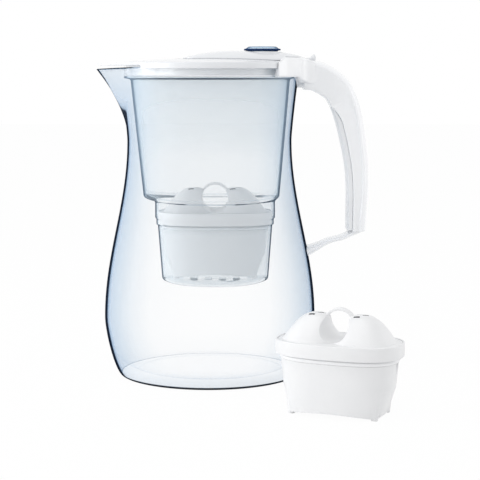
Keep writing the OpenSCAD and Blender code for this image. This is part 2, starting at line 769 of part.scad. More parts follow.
module a_cartridge_cap() {
    a = flange_a - cartridge_wall - fixed_gap;
    b = flange_b - cartridge_wall - fixed_gap;
    top = flange_z + flange_h + hump_h;
    difference() {
        union() {
            oval_plate(a, b, flange_z + flange_h - 2 + 0.05, cap_t);
            hump(-1);
            hump(1);
        }
        translate([0, 40, scoop_z]) rotate([90, 0, 0]) cylinder(r = scoop_r, h = 80);
        for (side = [-1, 1], i = [-1, 1])
            translate([side * (hump_x - 1) - 3 + i * 3, i * 3.4 - 0.6, top - 2.4]) cube([4.6, 1.2, 6]);
        translate([flange_a - 8.5, -2.5, flange_z + flange_h - 3]) cube([1.4, 5, 4]);
    }
    intersection() {
        translate([0, loop_w / 2, scoop_z]) rotate([90, 0, 0]) difference() {
            cylinder(r = scoop_r + loop_t, h = loop_w);
            translate([0, 0, -1]) cylinder(r = scoop_r, h = loop_w + 2);
        }
        translate([-20, -20, scoop_z]) cube([40, 40, 30]);
    }
}

module a_cartridge_seal() {
    z = flange_z - seal_h - 0.6;
    difference() {
        oval_plate(body_a - groove + seal_w, body_b - groove + seal_w, z, seal_h);
        oval_plate(body_a - groove + 0.05, body_b - groove + 0.05, z - 1, seal_h + 2);
    }
}

// Layer of the bed between two levels, just inside the walls and their sloped ends
module bed_layer(z0, z1) {
    in = cartridge_wall + groove + fixed_gap;
    wide = body_a - body_taper - in - 0.8;
    low = wide - cut_in - 1.6;
    top = flange_z + flange_h;
    intersection() {
        oval_plate(wide, body_b - body_taper - in + 1, z0, z1 - z0);
        translate([0, 30, 0]) rotate([90, 0, 0]) linear_extrude(60)
            polygon([[-low, 0], [low, 0], [wide, cut_z], [wide, top], [-wide, top], [-wide, cut_z]]);
    }
}

module a_bottom_fleece() {
    bed_layer(bed_z + 0.2, bed_z + fleece_t);
}

module a_media() {
    bed_layer(bed_z + fleece_t + 0.05, flange_z + 4);
}

module a_top_fleece() {
    bed_layer(flange_z + 4.05, flange_z + 4.05 + fleece_t);
}

// Puts a cartridge part in the socket
module installed() {
    translate([socket_x, 0, flange_seat_z - flange_z]) children();
}

// Puts a cartridge part on the table beside the jug
module standing() {
    translate([spare_x, spare_y, 0]) rotate(spare_turn) children();
}

module cartridge_body() { color("white") installed() a_cartridge_body(); }
module cartridge_cap() { color("white") installed() a_cartridge_cap(); }
module cartridge_seal() { color("silver") installed() a_cartridge_seal(); }
module cartridge_top_fleece() { color("gainsboro") installed() a_top_fleece(); }
module cartridge_media() { color("dimgray") installed() a_media(); }
module cartridge_bottom_fleece() { color("gainsboro") installed() a_bottom_fleece(); }
module spare_body() { color("white") standing() a_cartridge_body(); }
module spare_cap() { color("white") standing() a_cartridge_cap(); }
module spare_seal() { color("silver") standing() a_cartridge_seal(); }
module spare_top_fleece() { color("gainsboro") standing() a_top_fleece(); }
module spare_media() { color("dimgray") standing() a_media(); }
module spare_bottom_fleece() { color("gainsboro") standing() a_bottom_fleece(); }

jug_body();
handle_shell();
handle_grip_cover();
funnel();
lid_shell();
flip_cover();
dial_scale();
indicator_dial();
dial_clip();
cartridge_body();
cartridge_cap();
cartridge_seal();
cartridge_top_fleece();
cartridge_media();
cartridge_bottom_fleece();
spare_body();
spare_cap();
spare_seal();
spare_top_fleece();
spare_media();
spare_bottom_fleece();
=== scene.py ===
"""Water filter pitcher with a flip lid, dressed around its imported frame.

Sizes are in millimetres in the frame's axes: +Z is up, the spout points to -X and the handle
to +X. Each sub-assembly is a class that builds its meshes from formulas and dresses them.
"""

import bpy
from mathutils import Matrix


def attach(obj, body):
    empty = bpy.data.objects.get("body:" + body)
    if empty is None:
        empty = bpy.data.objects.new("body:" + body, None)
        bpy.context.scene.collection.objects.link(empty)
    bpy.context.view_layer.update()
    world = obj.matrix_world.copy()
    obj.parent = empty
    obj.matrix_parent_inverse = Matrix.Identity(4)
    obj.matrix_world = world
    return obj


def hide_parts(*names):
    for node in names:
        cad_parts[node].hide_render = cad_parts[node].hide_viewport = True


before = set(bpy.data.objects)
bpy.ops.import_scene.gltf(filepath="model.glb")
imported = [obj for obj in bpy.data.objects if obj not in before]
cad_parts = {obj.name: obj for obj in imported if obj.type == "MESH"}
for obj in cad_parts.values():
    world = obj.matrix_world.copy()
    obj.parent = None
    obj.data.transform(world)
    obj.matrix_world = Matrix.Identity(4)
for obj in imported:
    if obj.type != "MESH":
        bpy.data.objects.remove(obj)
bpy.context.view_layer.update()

import logging
import math
from collections.abc import Callable
from dataclasses import dataclass
from enum import Enum

import bmesh
import bpy
import numpy as np
from mathutils import Matrix, Vector

MM = 0.001
INNER = "inner_side"
LINE = "painted_dark_line"
CREASE = 32.0
WELD = 1e-6
HAIR = 0.12
PLASTIC_IOR = 1.49
NOISE_LOW, NOISE_HIGH = 0.3, 0.7
Colour = tuple[float, float, float]
Skin = tuple[np.ndarray, list]
log = logging.getLogger("pitcher")


# ---- Formulas ----


def ease(t: np.ndarray | float) -> np.ndarray:
    """Smooth step from 0 to 1, level at both ends."""
    u = np.clip(t, 0.0, 1.0)
    return u * u * (3 - 2 * u)


def oval(a: np.ndarray, b: np.ndarray, n: np.ndarray,
         t: np.ndarray) -> tuple[np.ndarray, np.ndarray]:
    """Point of a superellipse: |x/a|^n + |y/b|^n = 1 at the angle t.

    Args:
        a: Half length along X.
        b: Half width along Y.
        n: Power, 2 for an ellipse and more for a squarer outline.
        t: Angle in radians.

    Returns:
        The x and y arrays.
    """
    c, s = np.cos(t), np.sin(t)
    return a * np.sign(c) * np.abs(c) ** (2 / n), b * np.sign(s) * np.abs(s) ** (2 / n)


def turn(steps: int) -> np.ndarray:
    """Angles of one full turn as a row, without the last one."""
    return np.linspace(0, 2 * np.pi, steps, endpoint=False)[None, :]


def rounded(keys: np.ndarray, radii: np.ndarray, steps: int = 5) -> np.ndarray:
    """Rounds the corners of a profile whose first two values are its lengths in millimetres.

    Each inner corner is replaced by a quadratic curve that starts and ends the fillet's
    length away from it, and the other values follow the same curve.

    Args:
        keys: Corner rows, each with two lengths and any further values.
        radii: Fillet length at each corner, 0 where it stays sharp.
        steps: Segments in each fillet.

    Returns:
        Rows of the rounded profile.
    """
    most = 0.48
    rows = [keys[:1]]
    u = np.linspace(0, 1, steps + 1)[:, None]
    for before, here, after, radius in zip(keys[:-2], keys[1:-1], keys[2:], radii[1:-1]):
        if radius == 0:
            rows.append(here[None, :])
            continue
        back = max(np.linalg.norm((before - here)[:2]), WELD)
        on = max(np.linalg.norm((after - here)[:2]), WELD)
        start = here + (before - here) * min(radius / back, most)
        end = here + (after - here) * min(radius / on, most)
        rows.append((1 - u) ** 2 * start + 2 * u * (1 - u) * here + u**2 * end)
    rows.append(keys[-1:])
    return np.vstack(rows)


def along(path: np.ndarray, t: np.ndarray) -> np.ndarray:
    """Catmull-Rom curve through the rows of a path.

    Args:
        path: Rows of values that the curve passes through.
        t: Places along it, from 0 to 1.

    Returns:
        A row of values for each place.
    """
    s = np.clip(t, 0, 1) * (len(path) - 1)
    i = np.minimum(s.astype(int), len(path) - 2)
    u = (s - i)[..., None]
    a, b = path[np.maximum(i - 1, 0)], path[i]
    c, d = path[i + 1], path[np.minimum(i + 2, len(path) - 1)]
    square, cube = 2 * a - 5 * b + 4 * c - d, 3 * b - a - 3 * c + d
    return 0.5 * (2 * b + (c - a) * u + square * u**2 + cube * u**3)


def swept(path: np.ndarray, t: np.ndarray, y: np.ndarray, n: np.ndarray) -> np.ndarray:
    """Carries a section along a path in the XZ plane: place + normal * n, with y across.

    Args:
        path: Rows of x, z and any further values.
        t: Station of each row, from 0 to 1.
        y: Section's distance from the middle plane, a row for each station.
        n: Section's distance across the path, a row for each station.

    Returns:
        Points as an array of stations by section points by 3.
    """
    near = 0.004
    centre = along(path, t)
    step = along(path, t + near) - along(path, t - near)
    length = np.hypot(step[:, 0], step[:, 1])
    nx, nz = -step[:, 1] / length, step[:, 0] / length
    return np.stack([centre[:, :1] + nx[:, None] * n, y, centre[:, 1:2] + nz[:, None] * n], axis=-1)


def mirrored(y: np.ndarray, n: np.ndarray) -> tuple[np.ndarray, np.ndarray]:
    """Whole section from its half on the +Y side, going round once."""
    return np.concatenate([y, -y[:, ::-1]], axis=1), np.concatenate([n, n[:, ::-1]], axis=1)


# ---- Meshes ----


def skin(points: np.ndarray, loop: bool = False) -> Skin:
    """Closed skin over a grid of rings, with each end closed by a fan round its centre.

    Args:
        points: Rings as an array of rings by ring points by 3.
        loop: Joins the last ring to the first, as on a torus, in place of the fans.

    Returns:
        Vertices and faces.
    """
    rings, n, _ = points.shape
    if loop:
        j, i = np.meshgrid(np.arange(rings), np.arange(n), indexing="ij")
        on, next_i = (j + 1) % rings * n, (i + 1) % n
        around = np.stack([j * n + i, j * n + next_i, on + next_i, on + i], axis=-1)
        return points.reshape(-1, 3), around.reshape(-1, 4).tolist()
    ends = np.stack([points[0].mean(axis=0), points[-1].mean(axis=0)])
    vertices = np.concatenate([points.reshape(-1, 3), ends])
    j, i = np.meshgrid(np.arange(rings - 1), np.arange(n), indexing="ij")
    a, b = j * n + i, j * n + (i + 1) % n
    sides = np.stack([a, b, b + n, a + n], axis=-1).reshape(-1, 4)
    k = np.arange(n)
    first = np.stack([(k + 1) % n, k, np.full(n, rings * n)], axis=-1)
    top = (rings - 1) * n
    last = np.stack([top + k, top + (k + 1) % n, np.full(n, rings * n + 1)], axis=-1)
    return vertices, sides.tolist() + first.tolist() + last.tolist()


def joined(skins: list[Skin]) -> Skin:
    """One skin from several, which stay separate shells.

    Args:
        skins: Vertices and faces of each.

    Returns:
        Vertices and faces of all.
    """
    vertices, faces, start = [], [], 0
    for points, polygons in skins:
        vertices.append(points)
        faces += [[k + start for k in polygon] for polygon in polygons]
        start += len(points)
    return np.concatenate(vertices), faces


def piece(name: str, shell: Skin) -> bpy.types.Object:
    """Makes an object at the origin from vertices in millimetres, facing outwards.

    Args:
        name: Name of the piece.
        shell: Vertices and faces of one or more closed skins.

    Returns:
        The new object.
    """
    vertices, faces = shell
    mesh = bpy.data.meshes.new(name)
    mesh.from_pydata((vertices * MM).tolist(), [], faces)
    tidy = bmesh.new()
    tidy.from_mesh(mesh)
    bmesh.ops.remove_doubles(tidy, verts=tidy.verts, dist=WELD)
    bmesh.ops.dissolve_degenerate(tidy, edges=tidy.edges, dist=WELD / 10)
    bmesh.ops.recalc_face_normals(tidy, faces=tidy.faces)
    if tidy.calc_volume(signed=True) < 0:
        bmesh.ops.reverse_faces(tidy, faces=tidy.faces)
    tidy.to_mesh(mesh)
    tidy.free()
    smooth(mesh, CREASE)
    thing = bpy.data.objects.new(name, mesh)
    bpy.context.collection.objects.link(thing)
    return thing


def smooth(mesh: bpy.types.Mesh, crease: float) -> None:
    """Shades a mesh smooth, but for the edges that turn by more than a crease in degrees."""
    mesh.polygons.foreach_set("use_smooth", np.ones(len(mesh.polygons), dtype=bool))
    mesh.set_sharp_from_angle(angle=math.radians(crease))


def mark_line(thing: bpy.types.Object, share: Callable[[np.ndarray], np.ndarray]) -> None:
    """Marks how much each point of a piece belongs to its painted dark line.

    Args:
        thing: Piece to mark.
        share: Gives a share from 0 to 1 for each row of places in millimetres.
    """
    mesh = thing.data
    places = np.empty(len(mesh.vertices) * 3)
    mesh.vertices.foreach_get("co", places)
    layer = mesh.attributes.new(LINE, "FLOAT", "POINT")
    layer.data.foreach_set("value", share(places.reshape(-1, 3) / MM).astype(np.float32))


def mark_inner(thing: bpy.types.Object, top: float, foot: float = 0.0) -> None:
    """Marks the faces of a piece's inner side with 1 and the rest with 0.

    Args:
        thing: Piece round the vertical axis.
        top: Height in millimetres above which nothing counts as inner.
        foot: Radius in millimetres within which the underside counts as inner.
    """
    mesh = thing.data
    count = len(mesh.polygons)
    normal, centre = np.empty(count * 3), np.empty(count * 3)
    mesh.polygons.foreach_get("normal", normal)
    mesh.polygons.foreach_get("center", centre)
    normal, centre = normal.reshape(-1, 3), centre.reshape(-1, 3)
    outwards = (normal[:, :2] * centre[:, :2]).sum(axis=1)
    level = 0.5
    under = (normal[:, 2] < -level) & (np.hypot(centre[:, 0], centre[:, 1]) < foot * MM)
    inner = (outwards < 0) | (normal[:, 2] > level) | under
    layer = mesh.attributes.new(INNER, "FLOAT", "FACE")
    layer.data.foreach_set("value", (inner & (centre[:, 2] < top * MM)).astype(np.float32))


def carve(thing: bpy.types.Object, tools: list[bpy.types.Object], add: bool = False) -> None:
    """Cuts tools out of a piece, or fuses them with it, and removes the tools.

    Args:
        thing: Piece to work on.
        tools: Closed solids, removed afterwards.
        add: Fuses the tools with the piece in place of cutting them out.
    """
    for tool in tools:
        cut = thing.modifiers.new("cut", "BOOLEAN")
        cut.operation = "UNION" if add else "DIFFERENCE"
        cut.solver = "EXACT"
        cut.object = tool
    settle(thing)
    for tool in tools:
        bpy.data.objects.remove(tool)


def settle(thing: bpy.types.Object, crease: float = CREASE) -> None:
    """Applies a piece's modifiers and marks its sharp edges again.

    Args:
        thing: Piece whose modifiers are applied.
        crease: Edges that turn by more than this many degrees stay sharp.
    """
    graph = bpy.context.evaluated_depsgraph_get()
    mesh = bpy.data.meshes.new_from_object(thing.evaluated_get(graph))
    thing.modifiers.clear()
    thing.data = mesh
    smooth(mesh, crease)


def soften(thing: bpy.types.Object, width: float, segments: int = 2, angle: float = CREASE) -> None:
    """Rounds a piece's sharp edges.

    Args:
        thing: Piece to work on.
        width: Width of each rounding in millimetres.
        segments: Faces across it.
        angle: Edges that turn by more than this many degrees are rounded.
    """
    bevel = thing.modifiers.new("edges", "BEVEL")
    bevel.width = width * MM
    bevel.segments = segments
    bevel.limit_method = "ANGLE"
    bevel.angle_limit = math.radians(angle)
    bevel.miter_outer = "MITER_ARC"
    bevel.harden_normals = False
    spare = 6
    settle(thing, angle + spare)


def block(low: tuple, high: tuple) -> Skin:
    """Box as a skin of two square rings.

    Args:
        low: Its corner with the lowest x, y and z.
        high: The opposite corner.

    Returns:
        Vertices and faces.
    """
    x = np.array([low[0], high[0], high[0], low[0]])
    y = np.array([low[1], low[1], high[1], high[1]])
    rings = [np.stack([x, y, np.full(4, z)], axis=-1) for z in (low[2], high[2])]
    return skin(np.array(rings))


def revolve(profile: np.ndarray, steps: int = 128, centre: tuple = (0.0, 0.0),
            loop: bool = False) -> Skin:
    """Turns a profile round a vertical axis: x = r cos t, y = r sin t.

    Args:
        profile: Rows of r and z.
        steps: Points round the axis.
        centre: The axis's x and y.
        loop: Whether the profile closes on itself, as a ring's does.

    Returns:
        Vertices and faces.
    """
    t = turn(steps)
    r, z = profile[:, :1], profile[:, 1:2]
    points = np.stack([centre[0] + r * np.cos(t), centre[1] + r * np.sin(t), z + 0 * t], axis=-1)
    return skin(points, loop)


def lying(radius: float, y0: float, y1: float, x: float, z: float, steps: int = 48) -> Skin:
    """Cylinder that lies along Y.

    Args:
        radius: Its radius.
        y0: Its first end.
        y1: Its other end.
        x: Place of its axis along X.
        z: Height of its axis.
        steps: Points round the axis.

    Returns:
        Vertices and faces.
    """
    t = turn(steps)[0]
    rings = [np.stack([x + radius * np.cos(t), np.full(steps, y), z + radius * np.sin(t)], axis=-1)
             for y in (y0, y1)]
    return skin(np.array(rings))


# ---- Finishes ----


class Board:
    """Adds and joins the shader nodes of one material or world."""

    def __init__(self, owner: bpy.types.Material | bpy.types.World) -> None:
        """Empties the node tree of its owner and reads Object coordinates.

        Args:
            owner: Material or world that the nodes belong to.
        """
        owner.use_nodes = True
        self.owner = owner
        self.tree = owner.node_tree
        self.tree.nodes.clear()
        self.place = self.add("ShaderNodeTexCoord").outputs["Object"]

    def add(self, kind: str, **settings: object) -> bpy.types.Node:
        """Adds a node.

        Args:
            kind: Type name of the node.
            **settings: Values of the node's own properties.

        Returns:
            The new node.
        """
        node = self.tree.nodes.new(kind)
        for key, value in settings.items():
            setattr(node, key, value)
        return node

    def join(self, source: bpy.types.NodeSocket, node: bpy.types.Node, target: str | int) -> None:
        """Joins an output to a named or numbered input."""
        self.tree.links.new(source, node.inputs[target])

    def noise(self, scale: float, detail: float, rough: float = 0.55) -> bpy.types.NodeSocket:
        """Noise over Object coordinates.

        Args:
            scale: Waves per metre.
            detail: Octaves of finer noise on top.
            rough: How strong the finer noise is.

        Returns:
            Socket of the noise's value.
        """
        node = self.add("ShaderNodeTexNoise")
        node.inputs["Scale"].default_value = scale
        node.inputs["Detail"].default_value = detail
        node.inputs["Roughness"].default_value = rough
        self.join(self.place, node, "Vector")
        return node.outputs["Fac"]

    def ranged(self, source: bpy.types.NodeSocket, low: float, high: float,
               start: float = 0.0, end: float = 1.0, smooth: bool = False) -> bpy.types.NodeSocket:
        """Maps a value from one range to another, held at both ends.

        Args:
            source: Value to map.
            low: Result at the start.
            high: Result at the end.
            start: Value where the mapping starts.
            end: Value where it ends.
            smooth: Levels the mapping out at both ends.

        Returns:
            Socket of the mapped value.
        """
        node = self.add("ShaderNodeMapRange", interpolation_type="SMOOTHSTEP" if smooth else "LINEAR")
        for key, value in zip(("From Min", "From Max", "To Min", "To Max"), (start, end, low, high)):
            node.inputs[key].default_value = value
        self.join(source, node, "Value")
        return node.outputs["Result"]

    def wander(self, scale: float, detail: float, low: float, high: float) -> bpy.types.NodeSocket:
        """Noise stretched to run from a low to a high value."""
        return self.ranged(self.noise(scale, detail), low, high, NOISE_LOW, NOISE_HIGH)

    def mixed(self, share: bpy.types.NodeSocket, first: bpy.types.NodeSocket | Colour,
              second: bpy.types.NodeSocket | Colour) -> bpy.types.NodeSocket:
        """Mixes two colours.

        Args:
            share: Share of the second colour.
            first: Colour, or socket that gives one.
            second: Colour, or socket that gives one.

        Returns:
            Socket of the mixed colour.
        """
        node = self.add("ShaderNodeMix", data_type="RGBA")
        self.join(share, node, 0)
        for source, target in ((first, 6), (second, 7)):
            if isinstance(source, bpy.types.NodeSocket):
                self.join(source, node, target)
            else:
                node.inputs[target].default_value = (*source, 1)
        return node.outputs[2]

    def ramp(self, source: bpy.types.NodeSocket,
             stops: list[tuple[float, Colour]]) -> bpy.types.NodeSocket:
        """Colour ramp.

        Args:
            source: Value that picks the colour.
            stops: Places from 0 to 1, each with its colour.

        Returns:
            Socket of the colour.
        """
        node = self.add("ShaderNodeValToRGB")
        band = node.color_ramp
        band.elements[0].position, band.elements[0].color = stops[0][0], (*stops[0][1], 1)
        band.elements[1].position, band.elements[1].color = stops[-1][0], (*stops[-1][1], 1)
        for position, colour in stops[1:-1]:
            band.elements.new(position).color = (*colour, 1)
        self.join(source, node, "Fac")
        return node.outputs["Color"]

    def facing(self) -> bpy.types.NodeSocket:
        """Layer Weight's facing value.

        Returns:
            Socket with 0 where the surface faces the eye and 1 at its edge.
        """
        even = 0.5
        node = self.add("ShaderNodeLayerWeight")
        node.inputs["Blend"].default_value = even
        return node.outputs["Facing"]

    def mark(self, name: str) -> bpy.types.NodeSocket:
        """Value of one of the piece's own attributes."""
        return self.add("ShaderNodeAttribute", attribute_name=name).outputs["Fac"]

    def height(self) -> bpy.types.NodeSocket:
        """Height above the table.

        Returns:
            Socket of the height in metres.
        """
        node = self.add("ShaderNodeSeparateXYZ")
        self.join(self.place, node, "Vector")
        return node.outputs["Z"]

    def math(self, kind: str, first: bpy.types.NodeSocket,
             second: bpy.types.NodeSocket | float) -> bpy.types.NodeSocket:
        """Combines two values.

        Args:
            kind: Name of the operation, in capitals.
            first: Socket of the first value.
            second: Second value, or the socket that gives it.

        Returns:
            Socket of the result.
        """
        node = self.add("ShaderNodeMath", operation=kind)
        self.join(first, node, 0)
        if isinstance(second, bpy.types.NodeSocket):
            self.join(second, node, 1)
        else:
            node.inputs[1].default_value = second
        return node.outputs["Value"]

    def bump(self, height: bpy.types.NodeSocket, depth: float) -> bpy.types.NodeSocket:
        """Bump from a height map.

        Args:
            height: Socket of the height, from 0 to 1.
            depth: Depth of the whole range in metres.

        Returns:
            Socket of the bent normal.
        """
        node = self.add("ShaderNodeBump")
        node.inputs["Strength"].default_value = 1.0
        node.inputs["Distance"].default_value = depth
        self.join(height, node, "Height")
        return node.outputs["Normal"]

    def principled(self, **values: object) -> bpy.types.Node:
        """Adds the surface shader and its output.

        Args:
            **values: Values of its sockets, with _ for a blank in a name.

        Returns:
            The shader's node.
        """
        shader = self.add("ShaderNodeBsdfPrincipled")
        for key, value in values.items():
            shader.inputs[key.replace("_", " ")].default_value = value
        output = self.add("ShaderNodeOutputMaterial")
        self.join(shader.outputs["BSDF"], output, "Surface")
        return shader


@dataclass(frozen=True)
class OpaquePlastic:
    """Moulded plastic: a cloudy base colour, a roughness that wanders and a fine moulded grain."""

    name: str
    colour: Colour
    shade: Colour
    roughness: float
    coat: float = 0.0
    coat_roughness: float = 0.06
    clouds: float = 28.0
    smears: float = 90.0
    grain: float = 900.0
    grain_depth: float = 0.000003

    def build(self) -> bpy.types.Material:
        """Makes the material.

        Returns:
            The new material.
        """
        board = Board(bpy.data.materials.new(self.name))
        shader = board.principled(Coat_Weight=self.coat, Coat_Roughness=self.coat_roughness,
                                  IOR=PLASTIC_IOR)
        cloud = board.wander(self.clouds, 4, 0, 1)
        board.join(board.mixed(cloud, self.colour, self.shade), shader, "Base Color")
        dull = board.wander(self.smears, 5, self.roughness * 0.85, self.roughness * 1.2)
        board.join(dull, shader, "Roughness")
        board.join(board.bump(board.noise(self.grain, 2), self.grain_depth), shader, "Normal")
        return board.owner


@dataclass(frozen=True)
class ClearPlastic:
    """Clear or frosted plastic whose edge-on parts take a deeper tint and a painted dark line: tint and
    cover follow Layer Weight.

    Each stop is a facing value, a colour and a cover. The deeper tint towards the edge is the plastic's
    own colour;
    the near-black stops at the edge are painted, and stand in for the refraction and total internal
    reflection that darken a clear edge. The inner faces have stops of their own, because the painted
    line at a clear wall's edge belongs to its outside alone. Where a piece is marked with a line, its
    facing value is raised, so the painted dark colour gathers there too. Its gloss fades between
    dull_from and edge_full, where a real edge is dark. Above clear_from only lip_cover of the cover is
    left, and rise gives the share that is left at each height in metres, except where the wall turns
    edge-on from edge_from to edge_full.
    """

    name: str
    stops: tuple[tuple[float, Colour, float], ...]
    inner_stops: tuple[tuple[float, Colour, float], ...]
    roughness: float
    gloss: float = 0.5
    line_lift: float = 0.0
    dull_from: float = 0.5
    edge_from: float = 0.62
    edge_full: float = 0.74
    clear_from: float = 9.0
    clear_fade: float = 0.001
    lip_cover: float = 0.06
    rise: tuple[tuple[float, float], ...] = ()
    smears: float = 60.0
    grain: float = 700.0
    grain_depth: float = 0.0

    def side(self, board: Board, edge: bpy.types.NodeSocket, stops: tuple) -> tuple:
        """Colour and cover along the stops of one side."""
        return (board.ramp(edge, [(at, colour) for at, colour, _ in stops]),
                board.ramp(edge, [(at, (cover,) * 3) for at, _, cover in stops]))

    def painted_shade_by_height(self, board: Board) -> bpy.types.NodeSocket:
        """Share of the cover that is left at a height, which paints the funnel's light and shade by
        height.

        Args:
            board: Board of this finish.

        Returns:
            Socket of the share.
        """
        low, high = self.rise[0][0], self.rise[-1][0]
        up = board.ranged(board.height(), 0, 1, low, high)
        return board.ramp(up, [((z - low) / (high - low), (share,) * 3) for z, share in self.rise])

    def build(self) -> bpy.types.Material:
        """Makes the material.

        Returns:
            The new material.
        """
        board = Board(bpy.data.materials.new(self.name))
        shader = board.principled(IOR=PLASTIC_IOR)
        edge = board.facing()
        raised = board.math("MAXIMUM", edge, board.math("MULTIPLY", board.mark(LINE), self.line_lift))
        board.join(board.ranged(raised, self.gloss, 0, self.dull_from, self.edge_full),
                   shader, "Specular IOR Level")
        outer_colour, outer_cover = self.side(board, raised, self.stops)
        inner_colour, inner_cover = self.side(board, edge, self.inner_stops)
        share = board.mark(INNER)
        board.join(board.mixed(share, outer_colour, inner_colour), shader, "Base Color")
        clear = board.ranged(board.height(), 1, self.lip_cover,
                             self.clear_from, self.clear_from + self.clear_fade)
        cover = board.math("MULTIPLY", board.mixed(share, outer_cover, inner_cover), clear)
        if self.rise:
            edge_on = board.ranged(edge, 0, 1, self.edge_from, self.edge_full)
            left = board.math("MAXIMUM", self.painted_shade_by_height(board), edge_on)
            cover = board.math("MULTIPLY", cover, left)
        board.join(cover, shader, "Alpha")
        dull = board.wander(self.smears, 4, self.roughness * 0.8, self.roughness * 1.3)
        board.join(dull, shader, "Roughness")
        if self.grain_depth > 0:
            board.join(board.bump(board.noise(self.grain, 2), self.grain_depth), shader, "Normal")
        return board.owner


@dataclass(frozen=True)
class Granules:
    """Bed of dark and pale filter granules: cells of two colours with rounded tops."""

    name: str
    dark: Colour
    pale: Colour
    roughness: float = 0.75
    grain: float = 1300.0
    depth: float = 0.0004

    def build(self) -> bpy.types.Material:
        """Makes the material.

        Returns:
            The new material.
        """
        board = Board(bpy.data.materials.new(self.name))
        shader = board.principled(Roughness=self.roughness)
        cells = board.add("ShaderNodeTexVoronoi")
        cells.inputs["Scale"].default_value = self.grain
        board.join(board.place, cells, "Vector")
        split = board.ranged(cells.outputs["Color"], 0, 1, 0.45, 0.55)
        board.join(board.mixed(split, self.dark, self.pale), shader, "Base Color")
        round_top = board.ranged(cells.outputs["Distance"], 1, 0, 0, 0.7)
        board.join(board.bump(round_top, self.depth), shader, "Normal")
        return board.owner


@dataclass(frozen=True)
class Fleece:
    """Needled white fleece: short crossed fibres as bump and faint colour."""

    name: str
    colour: Colour
    shade: Colour
    roughness: float = 0.9
    sheen: float = 0.3
    fibres: float = 2600.0
    depth: float = 0.0003

    def build(self) -> bpy.types.Material:
        """Makes the material.

        Returns:
            The new material.
        """
        board = Board(bpy.data.materials.new(self.name))
        shader = board.principled(Roughness=self.roughness, Sheen_Weight=self.sheen)
        fibre = board.noise(self.fibres, 6, 0.75)
        board.join(board.mixed(fibre, self.colour, self.shade), shader, "Base Color")
        board.join(board.bump(fibre, self.depth), shader, "Normal")
        return board.owner


